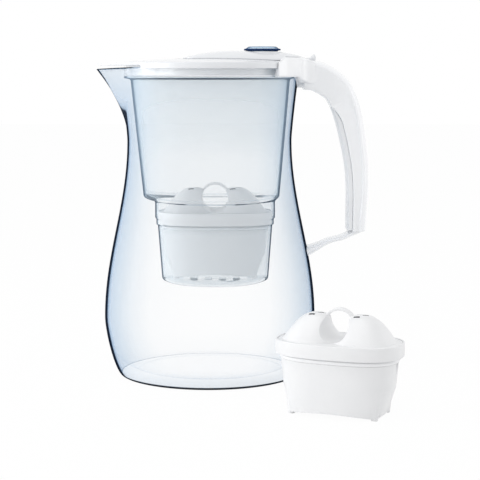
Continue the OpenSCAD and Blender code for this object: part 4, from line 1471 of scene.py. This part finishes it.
@dataclass(frozen=True)
class FlipCover:
    """Domed flip cover: boxy at its hinge, drawn out to a tail with a thumb tab, with a dial seat."""

    lid: Lid
    front: float = 21.2
    length: float = 105.7
    half_w: float = 31.0
    centre: float = 15.0
    middle: float = 35.0
    crest: float = 271.3
    edge: float = 0.8
    dome_n: float = 2.8
    hinge_n: float = 5.0
    tail_n: float = 1.75
    wall: float = 2.0
    dial_x: float = 44.2
    dial_r: float = 15.3
    seat_t: float = 1.6
    seat_sink: float = 1.6
    seat_more: float = 1.4
    boss_r: float = 6.0
    boss_h: float = 3.2
    stem_r: float = 3.0
    stem_gap: float = 0.05
    tab_w: float = 15.0

    def plan(self, t: np.ndarray) -> tuple[np.ndarray, np.ndarray]:
        """Outline seen from above: a superellipse, squarer on the hinge side than on the tail side.

        Args:
            t: Angles round its centre, with the tail at 0.

        Returns:
            The x and y arrays.
        """
        tail = np.cos(t) > 0
        n = np.where(tail, self.tail_n, self.hinge_n)
        reach = np.where(tail, self.length - self.front - self.centre, self.front + self.centre)
        x, y = oval(reach, np.full_like(reach, self.half_w), n, t)
        return x + self.centre, y

    def rings(self, share: np.ndarray, lift: np.ndarray, dome: np.ndarray) -> np.ndarray:
        """Rings at shares s of the outline, raised by a lift plus dome * (1 - s^dome_n).

        Args:
            share: Size of each ring as a share of the outline.
            lift: Height of each ring's edge above the lid.
            dome: How much of the dome each ring takes, 0 or 1.

        Returns:
            Points as rings by points by 3.
        """
        t = turn(224)
        x0, y0 = self.plan(t)
        x = self.middle + (x0 - self.middle) * share
        y = y0 * share
        base = np.maximum(self.lid.crown_z(np.hypot(x, y)) + 0.1, self.lid.tail_z)
        rise = (self.crest - base - self.edge) * (1 - share**self.dome_n)
        return np.stack([x, y, base + lift + dome * rise], axis=-1)

    def shell_skin(self) -> Skin:
        """Cover as one skin: dome, rounded edge, underside rim and hollow.

        Returns:
            Vertices and faces.
        """
        inner = 1 - self.wall / self.half_w
        hollow = (0.985, 0.96, 0.92, 0.86, 0.78, 0.68, 0.55, 0.4, 0.2, 0.08)
        rows = [(s, self.edge, 1.0) for s in np.sin(np.linspace(0, np.pi / 2, 40))[1:-1]]
        rows += [(1.0, self.edge * 0.75, 0.0), (1.0, 0.15, 0.0), (0.996, 0.0, 0.0), (inner, 0.0, 0.0)]
        rows += [(s * inner, self.edge - self.wall, 1.0) for s in hollow]
        table = np.array(rows)
        return skin(self.rings(table[:, :1], table[:, 1:2], table[:, 2:3]))

    def tab_skin(self) -> Skin:
        """Thumb tab: a curled lip carried across the tail, thinner towards its ends.

        Returns:
            Vertices and faces of sections that stand side by side along Y.
        """
        x = self.length - self.front - 2
        side = np.array([(-3, 0), (6.2, 0), (6.4, 2.6), (5.9, 4.4), (5.0, 5.3), (4.2, 5.3),
                         (3.2, 4.6), (2.2, 2.8), (-3, 2.2)])
        y = np.linspace(-1, 1, 25)[:, None]
        fall = 1 - 0.5 * np.abs(y) ** 4
        px = x + side[None, :, 0] - 0.9 * np.abs(y) ** 3
        pz = self.lid.tail_z + side[None, :, 1] * fall
        return skin(np.stack([px, self.tab_w / 2 * y + 0 * px, pz], axis=-1))

    def knuckle_skins(self, side: int) -> list[Skin]:
        """Knuckle, pin and arm on one side.

        Args:
            side: 1 for the +Y side, -1 for the other.

        Returns:
            The skins of its parts.
        """
        x, z, y = -self.lid.hinge_x, self.lid.hinge_z, self.lid.hinge_y
        y0, y1 = sorted((side * (y - 5.2), side * y))
        pin = sorted((side * (y - 1), side * (y + self.lid.ear_t + 0.3)))
        top = float(self.lid.crown_z(self.lid.hinge_x)) - 0.1
        return [lying(self.lid.ear_r, y0, y1, x, z), lying(self.lid.pin_r, pin[0], pin[1], x, z),
                block((x, y0, z - 0.4), (x + 6.3, y1, top)),
                block((0.3 - self.front, y0, z - 0.4), (2.9 - self.front, y1, z + 3.0))]

    def build(self) -> list[bpy.types.Object]:
        """Makes and dresses the cover, its tab, its knuckles and the dial's seat.

        Returns:
            The pieces made.
        """
        cover = piece("flip_cover_shell", self.shell_skin())
        seat_r, seat_z = self.dial_r + self.seat_more, self.crest - self.seat_sink
        bore, boss_z, rim_r = self.stem_r + self.stem_gap, seat_z - self.boss_h, seat_r + 0.3
        keys = np.array([(bore, boss_z), (self.boss_r, boss_z), (self.boss_r, seat_z - self.seat_t),
                         (rim_r, seat_z - self.seat_t), (rim_r, seat_z), (bore, seat_z),
                         (bore, boss_z + 0.1)])
        seat = rounded(keys, np.array([0, 0, 0, 0.2, 0, 0, 0]))
        plate = piece("dial_seat", revolve(seat[:-1], 128, (self.dial_x, 0), loop=True))
        above = self.crest + 5
        recess = np.array([(seat_r, seat_z - 0.4), (seat_r, above)])
        hole = np.array([(bore, seat_z - 8), (bore, above)])
        carve(cover, [piece("recess", revolve(recess, 128, (self.dial_x, 0))),
                      piece("hole", revolve(hole, 64, (self.dial_x, 0)))])
        tab = piece("thumb_tab", self.tab_skin())
        soften(tab, 0.5, 3)
        knuckles = piece("hinge_knuckles", joined(self.knuckle_skins(1) + self.knuckle_skins(-1)))
        made = [cover, tab, knuckles, plate]
        for thing in made:
            # the cover and its parts take the shaded copy of the white plastic, painted shade
            Finish.LID_WHITE.dress(thing)
            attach(thing, "flip")
            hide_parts("flip_cover")
        return made


@dataclass(frozen=True)
class Dial:
    """Clear blue reminder dial over a white scale disc with plain numbers."""

    cover: FlipCover
    base_z: float = 270.7
    height: float = 3.6
    scale_r: float = 16.2
    scale_hole_r: float = 3.4
    scale_z: float = 269.7
    scale_t: float = 0.8
    notches: int = 24
    notch_depth: float = 0.55
    notch_w: float = 0.16
    bar_half: float = 11.2
    bar_half_w: float = 2.4
    stem_z: float = 265.0
    numbers: int = 12
    number_r: float = 10.2
    number_h: float = 3.0
    ink_t: float = 0.02

    def dial_skin(self) -> Skin:
        """Dial: a turned profile whose edge has notches, each a bell curve of the angle.

        Returns:
            Vertices and faces.
        """
        top, edge_r = self.base_z + self.height, self.cover.dial_r
        keys = np.array([(4, self.base_z), (edge_r - 2.6, self.base_z), (edge_r - 1.6, top - 2.7),
                         (edge_r, top - 2.7), (edge_r, top - 1.4), (edge_r - 1.2, top - 1.4),
                         (edge_r - 4, top + 0.4), (3, top + 0.4)])
        profile = rounded(keys, np.array([0, 0.4, 0.2, 0.3, 0.5, 0.4, 0.8, 0]))
        t = turn(self.notches * 16)
        r, z = profile[:, :1], profile[:, 1:2]
        outer = ease((r - (edge_r - 2.2)) / 1.6)
        off = np.mod(t * self.notches / (2 * np.pi) + 0.5, 1) - 0.5
        r = r - outer * self.notch_depth * np.exp(-((off / self.notch_w) ** 2))
        return skin(np.stack([self.cover.dial_x + r * np.cos(t), r * np.sin(t), z + 0 * t], axis=-1))

    def grip_skin(self) -> Skin:
        """Raised oval bar across the dial that a finger turns it by.

        Returns:
            Vertices and faces, with sides that lean in a little.
        """
        t = turn(48)
        s = np.array([0.0, 0.3, 0.75, 0.93, 1.0])[:, None]
        half, half_w = self.bar_half * (1.02 - 0.02 * s), np.full_like(s, self.bar_half_w)
        x, y = oval(half, half_w, np.full_like(s, 2.6), t)
        z = self.base_z + self.height - 0.3 + 0.65 * s
        return skin(np.stack([self.cover.dial_x + x, y, z + 0 * t], axis=-1))

    def number_marks(self) -> bpy.types.Object:
        """Plain numbers printed on the scale disc.

        Returns:
            One piece that holds them all.
        """
        marks = bmesh.new()
        middle = Vector((self.cover.dial_x, 0, self.scale_z + self.scale_t + 0.03)) * MM
        for k in range(self.numbers):
            angle = 2 * math.pi * k / self.numbers
            curve = bpy.data.curves.new("number", "FONT")
            curve.body = str(k + 1)
            curve.size = self.number_h * MM
            curve.align_x = curve.align_y = "CENTER"
            curve.extrude = self.ink_t * MM
            letter = bpy.data.objects.new("number", curve)
            bpy.context.collection.objects.link(letter)
            graph = bpy.context.evaluated_depsgraph_get()
            mesh = bpy.data.meshes.new_from_object(letter.evaluated_get(graph))
            out = Matrix.Translation((0, self.number_r * MM, 0))
            mesh.transform(Matrix.Translation(middle) @ Matrix.Rotation(angle, 4, "Z") @ out)
            bpy.data.objects.remove(letter)
            marks.from_mesh(mesh)
        mesh = bpy.data.meshes.new("dial_numbers")
        marks.to_mesh(mesh)
        marks.free()
        thing = bpy.data.objects.new("dial_numbers", mesh)
        bpy.context.collection.objects.link(thing)
        return thing

    def build(self) -> list[bpy.types.Object]:
        """Makes and dresses the dial, its grip bar, scale disc and numbers.

        Returns:
            The pieces made.
        """
        centre, stem_r = (self.cover.dial_x, 0), self.cover.stem_r
        dial = piece("dial", self.dial_skin())
        bar = piece("dial_bar", self.grip_skin())
        stem_rows = np.array([(stem_r, self.stem_z), (stem_r, self.base_z + 1)])
        stem = piece("dial_stem", revolve(stem_rows, 48, centre))
        low, high = self.base_z + 0.2, self.base_z + self.height - 1.45
        # the band round the dial's side takes the painted dark line of a clear edge
        mark_line(dial, lambda places: (places[:, 2] > low) & (places[:, 2] < high))
        for thing in (dial, bar, stem):
            Finish.BLUE_DIAL.dress(thing)
            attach(thing, "dial")
            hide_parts("indicator_dial")
        hole, edge = self.scale_hole_r, self.scale_r
        bottom, top = self.scale_z, self.scale_z + self.scale_t
        keys = np.array([(hole, bottom), (edge, bottom), (edge, top), (hole, top),
                         (hole, bottom + 0.1)])
        profile = rounded(keys, np.array([0, 0.1, 0.2, 0.1, 0]))
        disc = piece("scale_disc", revolve(profile[:-1], 128, centre, loop=True))
        Finish.SATIN_WHITE.dress(disc)
        numbers = self.number_marks()
        Finish.INK.dress(numbers)
        for thing, slot in ((disc, "white_satin_plastic"), (numbers, "blue_dial_plastic")):
            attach(thing, "flip")
        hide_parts("dial_scale")
        return [dial, bar, stem, disc, numbers]


# ---- Cartridges ----


@dataclass(frozen=True)
class Cartridge:
    """Filter cartridge: a white body with cut-away ends, a recessed cap with two humps and a loop.

    It stands at a place and is turned by degrees about the vertical. Its flange has half length
    flange_a and half width flange_b, and the cap sits a hair inside the flange's wall.
    """

    prefix: str
    body_name: str
    place: tuple[float, float, float]
    turned: float
    flange_a: float = 48.4
    flange_b: float = 30.4
    flange_z: float = 45.0
    flange_h: float = 10.5
    inset: float = 3.9
    taper: float = 3.6
    wall: float = 1.5
    cut_z: float = 22.0
    cut_in: float = 6.5
    arch: float = 2.6
    n: float = 2.6
    seal_h: float = 3.2
    groove: float = 0.5
    bed_z: float = 5.0
    hump_h: float = 19.5
    hump_x: float = 20.0
    hump_lean: float = 2.5
    hump_n: float = 2.3
    hump_sink: float = 0.6
    cap_sink: float = 0.35
    cap_t: float = 1.6
    scoop_r: float = 11.0
    loop_w: float = 5.0
    loop_t: float = 2.0
    slit_x: float = 17.5
    slit_pitch: float = 2.6
    slit_half: float = 2.3
    slit_w: float = 1.8
    slit_depth: float = 3.2
    foot_in: float = 0.5
    foot_r: float = 2.6
    foot_h: float = 3.0
    outlet_pitch: float = 11.0
    outlet_half: float = 2.0
    outlet_half_l: float = 12.0

    def rings(self, rows: np.ndarray) -> np.ndarray:
        """Superellipse rings whose ends are cut flat by a slope below the cut's height.

        Args:
            rows: Length, height, width, end inset and arch of each ring.

        Returns:
            Points as rings by points by 3.
        """
        a, z, b, inset, arch = (rows[:, k:k + 1] for k in range(5))
        t = turn(192)
        x, y = oval(a, b, np.full_like(a, self.n), t)
        end = a - self.cut_in * np.clip(1 - z / self.cut_z, 0, None)
        x = np.sign(x) * np.minimum(np.abs(x), end - inset)
        return np.stack([x, y, z + arch * (1 - (x / end) ** 2)], axis=-1)

    def body_skin(self) -> Skin:
        """Body: arched foot, sloped lower ends, seal groove, flange, rim and inside.

        Returns:
            Vertices and faces.
        """
        a, b = self.flange_a - self.inset, self.flange_b - self.inset
        low_a, low_b = a - self.taper, b - self.taper + 1
        mid, w, g = (self.cut_z - 1) / self.flange_z, self.wall, self.groove
        mid_a, mid_b = a - self.taper * (1 - mid), b - (self.taper - 1) * (1 - mid)
        fz, top = self.flange_z, self.flange_z + self.flange_h
        seal_z = fz - self.seal_h - 0.8
        rows = [
            (low_a * 0.5, 1, low_b * 0.5, 0, self.arch, 0), (low_a, 1, low_b, 0, self.arch, 0.7),
            (mid_a, self.cut_z, mid_b, 0, 0, 0.5), (a, seal_z, b, 0, 0, 0.2),
            (a - g, seal_z + 0.1, b - g, 0, 0, 0), (a - g, fz, b - g, 0, 0, 0.3),
            (self.flange_a, fz + 0.01, self.flange_b, 0, 0, 0.5),
            (self.flange_a, top, self.flange_b, 0, 0, 0.6),
            (self.flange_a - w, top, self.flange_b - w, 0, 0, 0.5),
            (self.flange_a - w, top - 2, self.flange_b - w, 0, 0, 0.2),
            (a - g - w, top - 2.01, b - g - w, 0, 0, 0.3),
            (a - g - w, seal_z - 0.4, b - g - w, 0, 0, 0.3),
            (mid_a - w, self.cut_z, mid_b - w, 0, 0, 0.5),
            (low_a - w, self.bed_z, low_b - w, 1, 0, 0.5),
            ((low_a - w) * 0.5, self.bed_z, (low_b - w) * 0.5, 1, 0, 0)]
        table = np.array(rows, dtype=float)
        return skin(self.rings(rounded(table[:, :5], table[:, 5])))

    def hump_skin(self, side: int) -> Skin:
        """Hump: ovals that shrink and lean inwards as they rise, on a curve through six levels.

        Args:
            side: 1 for the hump on the +X side, -1 for the other.

        Returns:
            Vertices and faces.
        """
        levels = np.array([(0, 23.5, 23), (0.18, 21.2, 20.6), (0.45, 18, 17),
                           (0.72, 14, 12.6), (0.92, 9, 8), (1, 5, 4)])
        rows = along(levels, np.linspace(0, 1, 36))
        rows = np.vstack([rows, rows[-1] * np.array([1, 0.4, 0.4])])
        up, a, b = (rows[:, k:k + 1] for k in range(3))
        x, y = oval(a, b, np.full_like(a, self.hump_n), turn(96))
        middle = side * (self.hump_x - self.hump_lean * up)
        z = self.flange_z + self.flange_h - self.hump_sink + (self.hump_h + self.hump_sink) * up
        return skin(np.stack([x + middle, y, z + 0 * x], axis=-1))

    def loop_skin(self) -> Skin:
        """Loop over the scoop: a flat strip carried along half a circle.

        Returns:
            Vertices and faces.
        """
        t = np.linspace(0, np.pi, 41)[:, None]
        y = np.array([[-0.9, 0.9, 1, 1, 0.9, -0.9, -1, -1]]) * self.loop_w / 2
        apart = 0.08
        r = self.scoop_r + apart + self.loop_t * np.array([[0, 0, 0.15, 0.85, 1, 1, 0.85, 0.15]])
        z = self.flange_z + self.flange_h + self.scoop_r
        return skin(np.stack([r * np.cos(t), y + 0 * t, z + r * np.sin(t)], axis=-1))

    def slits(self) -> list[tuple[tuple, tuple]]:
        """Corners of the air slits: two on each hump and one in the plate.

        Returns:
            The low and the high corner of each.
        """
        base = self.flange_z + self.flange_h
        top, slits = base + self.hump_h, []
        for side in (-1, 1):
            for off in (-self.slit_pitch, self.slit_pitch):
                x, y = side * self.slit_x + off, off - 4.0
                slits.append(((x - self.slit_half, y, top - self.slit_depth),
                              (x + self.slit_half, y + self.slit_w, top + 4)))
        return slits + [((self.flange_a - 8.5, -2.5, base - 1.2), (self.flange_a - 7.1, 2.5, base + 1))]

    def in_slits(self, places: np.ndarray) -> np.ndarray:
        """Whether places lie in one of the slits or on its walls.

        Args:
            places: Rows of x, y and z.

        Returns:
            True or False for each.
        """
        near = HAIR / 2
        inside = [(places > np.array(low) - near) & (places < np.array(high) + near)
                  for low, high in self.slits()]
        return np.all(inside, axis=2).any(axis=0)

    def cap(self) -> bpy.types.Object:
        """Cap: an oval plate, two humps with a scoop between them, slits and the loop.

        Returns:
            The piece before it is placed.
        """
        a, b = self.flange_a - self.wall - HAIR, self.flange_b - self.wall - HAIR
        base = self.flange_z + self.flange_h
        top = base - self.cap_sink
        low = top - self.cap_t
        plate_rows = np.array([(a * 0.5, low, b * 0.5, 0, 0), (a, low, b, 0, 0),
                               (a, top, b, 0, 0), (a * 0.5, top, b * 0.5, 0, 0)])
        plate = skin(self.rings(rounded(plate_rows, np.array([0, 0.2, 0.3, 0]))))
        cap = piece(f"{self.prefix}_cap_shell", plate)
        carve(cap, [piece("hump", self.hump_skin(side)) for side in (-1, 1)], add=True)
        scoop_z = base + self.scoop_r
        tools = [piece("scoop", lying(self.scoop_r, -40, 40, 0.02, scoop_z - 0.04, 96))]
        tools.append(piece("slits", joined([block(low, high) for low, high in self.slits()])))
        carve(cap, tools)
        carve(cap, [piece("loop", self.loop_skin())], add=True)
        soften(cap, 0.35, 2, 38)
        return cap

    def body(self) -> bpy.types.Object:
        """Body with its outlet slots, end notches and feet.

        Returns:
            The piece before it is placed.
        """
        a, b = self.flange_a - self.inset, self.flange_b - self.inset
        body = piece(f"{self.prefix}_body_shell", self.body_skin())
        half, half_l = self.outlet_half, self.outlet_half_l
        tools = [block((x - half, -half_l, -1), (x + half, half_l, 9))
                 for x in self.outlet_pitch * np.arange(-2, 3)]
        tools += [block((x - 1.4, -3, self.cut_z + 2), (x + 1.4, 3, self.flange_z - 4.2))
                  for x in (-a - 0.4, a + 0.4)]
        carve(body, [piece("slots", joined(tools))])
        foot = np.array([(self.foot_in, self.foot_h), (self.foot_r, self.foot_h),
                         (self.foot_r, 0), (self.foot_in, 0)])
        foot = rounded(foot, np.array([0, 0, 0.5, 0]))
        foot_x, foot_y = a - self.taper - self.cut_in - 2, b - self.taper - 8
        feet = [revolve(foot, 32, (x * foot_x, y * foot_y)) for x in (-1, 1) for y in (-1, 1)]
        carve(body, [piece("feet", joined(feet))], add=True)
        return body

    def seal(self) -> bpy.types.Object:
        """Silicone seal: a lip ring in the groove under the flange.

        Returns:
            The piece before it is placed.
        """
        a, b = self.flange_a - self.inset - self.groove, self.flange_b - self.inset - self.groove
        z = self.flange_z - self.seal_h - 0.6
        t = np.linspace(0, 2 * np.pi, 13)[:-1][:, None]
        out = 0.72 + 0.66 * np.cos(t)
        lean = np.where(np.cos(t) > 0, 0.72, 1.0)
        lift = self.seal_h / 2 + (self.seal_h / 2 - 0.02) * np.sin(t) * lean
        x, y = oval(a + out, b + out, np.full_like(t, self.n), turn(192))
        ring = skin(np.stack([x, y, z + lift + 0 * x], axis=-1), loop=True)
        return piece(f"{self.prefix}_seal_ring", ring)

    def build(self) -> list[bpy.types.Object]:
        """Makes, places and dresses the visible pieces and finishes the inner ones.

        Returns:
            The pieces made.
        """
        made = [self.body(), self.cap(), self.seal()]
        turned = Matrix.Rotation(math.radians(self.turned), 4, "Z")
        where = Matrix.Translation(Vector(self.place) * MM) @ turned
        for thing, part in zip(made, ("body", "cap", "seal")):
            finish = Finish.SEAL if part == "seal" else Finish.CARTRIDGE
            finish.dress(thing)
            if part == "cap":
                # the faces in and round the slits take near-black painted shade
                Finish.SLIT_DARK.touch(thing, self.in_slits)
            thing.data.transform(where)
            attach(thing, self.body_name)
            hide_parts(f"{self.prefix}_{part}")
        for part, finish in (("top_fleece", Finish.FLEECE), ("media", Finish.BED),
                             ("bottom_fleece", Finish.FLEECE)):
            finish.dress(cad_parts[f"{self.prefix}_{part}"])
        return made


# ---- Studio ----


@dataclass(frozen=True)
class Studio:
    """Camera, pale floor, white surroundings and soft lamps, with places in metres.

    The floor and the surroundings are white to the eye, and dimmer as light on the object.
    """

    eye: tuple[float, float, float] = (0.0256, -1.190, 0.252)
    pitch: float = 6.69
    lens: float = 106.1
    sensor: float = 36.0
    white: float = 0.86
    floor_white: float = 0.97
    floor_half: float = 6.0
    floor_drop: float = 0.0002
    ambient: float = 0.76
    aim_z: float = 0.15
    lamp_far: float = 1.3

    def camera(self) -> None:
        """Long lens near the table's level, looking along +Y and a little down."""
        data = bpy.data.cameras.new("camera")
        data.lens = self.lens
        data.sensor_width = self.sensor
        camera = bpy.data.objects.new("camera", data)
        bpy.context.collection.objects.link(camera)
        camera.location = self.eye
        camera.rotation_euler = (math.radians(90 - self.pitch), 0, 0)
        bpy.context.scene.camera = camera

    def seen(self, board: Board) -> bpy.types.NodeSocket:
        """Tells what the eye sees from what lights the object.

        Args:
            board: Board of the floor or the surroundings.

        Returns:
            Socket with 1 for a camera, glossy or transmission ray, else 0.
        """
        path = board.add("ShaderNodeLightPath")
        seen = board.math("MAXIMUM", path.outputs["Is Camera Ray"], path.outputs["Is Glossy Ray"])
        return board.math("MAXIMUM", seen, path.outputs["Is Transmission Ray"])

    def floor(self) -> None:
        """White floor that shows white and keeps a faint shadow."""
        board = Board(bpy.data.materials.new("studio_floor"))
        diffuse = board.add("ShaderNodeBsdfDiffuse")
        diffuse.inputs["Color"].default_value = (self.white, self.white, self.white, 1)
        glow = board.add("ShaderNodeEmission")
        glow.inputs["Strength"].default_value = 1.0
        mix = board.add("ShaderNodeMixShader")
        board.join(board.math("MULTIPLY", self.seen(board), self.floor_white), mix, 0)
        board.join(diffuse.outputs["BSDF"], mix, 1)
        board.join(glow.outputs["Emission"], mix, 2)
        board.join(mix.outputs["Shader"], board.add("ShaderNodeOutputMaterial"), "Surface")
        mesh = bpy.data.meshes.new("studio_floor")
        far = self.floor_half
        corners = [(-far, -far, 0), (far, -far, 0), (far, far, 0), (-far, far, 0)]
        mesh.from_pydata(corners, [], [(0, 1, 2, 3)])
        floor = bpy.data.objects.new("studio_floor", mesh)
        floor.location.z = -self.floor_drop
        bpy.context.collection.objects.link(floor)
        mesh.materials.append(board.owner)

    def world(self) -> None:
        """Even pale surroundings, white to the eye."""
        world = bpy.data.worlds.new("surroundings")
        bpy.context.scene.world = world
        board = Board(world)
        ground = board.add("ShaderNodeBackground")
        ground.inputs["Color"].default_value = (1, 1, 1, 1)
        board.join(board.ranged(self.seen(board), self.ambient, 1.0), ground, "Strength")
        board.join(ground.outputs["Background"], board.add("ShaderNodeOutputWorld"), "Surface")

    def lamp(self, name: str, azimuth: float, elevation: float,
             size: tuple[float, float], radiance: float) -> None:
        """Soft box aimed at the object.

        Args:
            name: Its name.
            azimuth: Degrees round from the camera's side.
            elevation: Degrees above the table.
            size: Width and height in metres.
            radiance: Brightness that it shows, which gives its power with its size.
        """
        data = bpy.data.lights.new(name, "AREA")
        data.shape = "RECTANGLE"
        data.size, data.size_y = size
        data.energy = radiance * size[0] * size[1] * math.pi
        lamp = bpy.data.objects.new(name, data)
        bpy.context.collection.objects.link(lamp)
        a, e = math.radians(azimuth), math.radians(elevation)
        back = Vector((math.sin(a) * math.cos(e), -math.cos(a) * math.cos(e), math.sin(e)))
        lamp.location = Vector((0, 0, self.aim_z)) + back * self.lamp_far
        lamp.rotation_mode = "QUATERNION"
        lamp.rotation_quaternion = back.to_track_quat("Z", "Y")

    def build(self) -> None:
        """Sets up the view and the light."""
        scene = bpy.context.scene
        scene.view_settings.view_transform = "Standard"
        scene.cycles.transparent_max_bounces = 32
        self.camera()
        self.floor()
        self.world()
        self.lamp("left_far", -88, 12, (0.56, 0.8), 2.8)
        self.lamp("left_near", -59, 12, (0.56, 0.8), 3.2)
        self.lamp("right_box", 84, 12, (1.0, 0.9), 0.9)
        self.lamp("top_box", -20, 75, (1.2, 1.0), 0.85)


def main() -> None:
    """Builds every piece and reports it."""
    logging.basicConfig(level=logging.INFO, format="%(name)s: %(message)s")
    Studio().build()
    jug = Jug()
    lid = Lid(jug)
    cover = FlipCover(lid)
    parts = [jug, Handle(jug, lid), Funnel(jug), lid, cover, Dial(cover),
             Cartridge("cartridge", "cartridge", (4.6, 0, 82), 0),
             Cartridge("spare", "spare", (100, -151, 0), -23)]
    for part in parts:
        for thing in part.build():
            log.info("%s: %d faces", thing.name, len(thing.data.polygons))
    Finish.SATIN_WHITE.dress(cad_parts["dial_clip"])


if __name__ == "__main__":
    main()
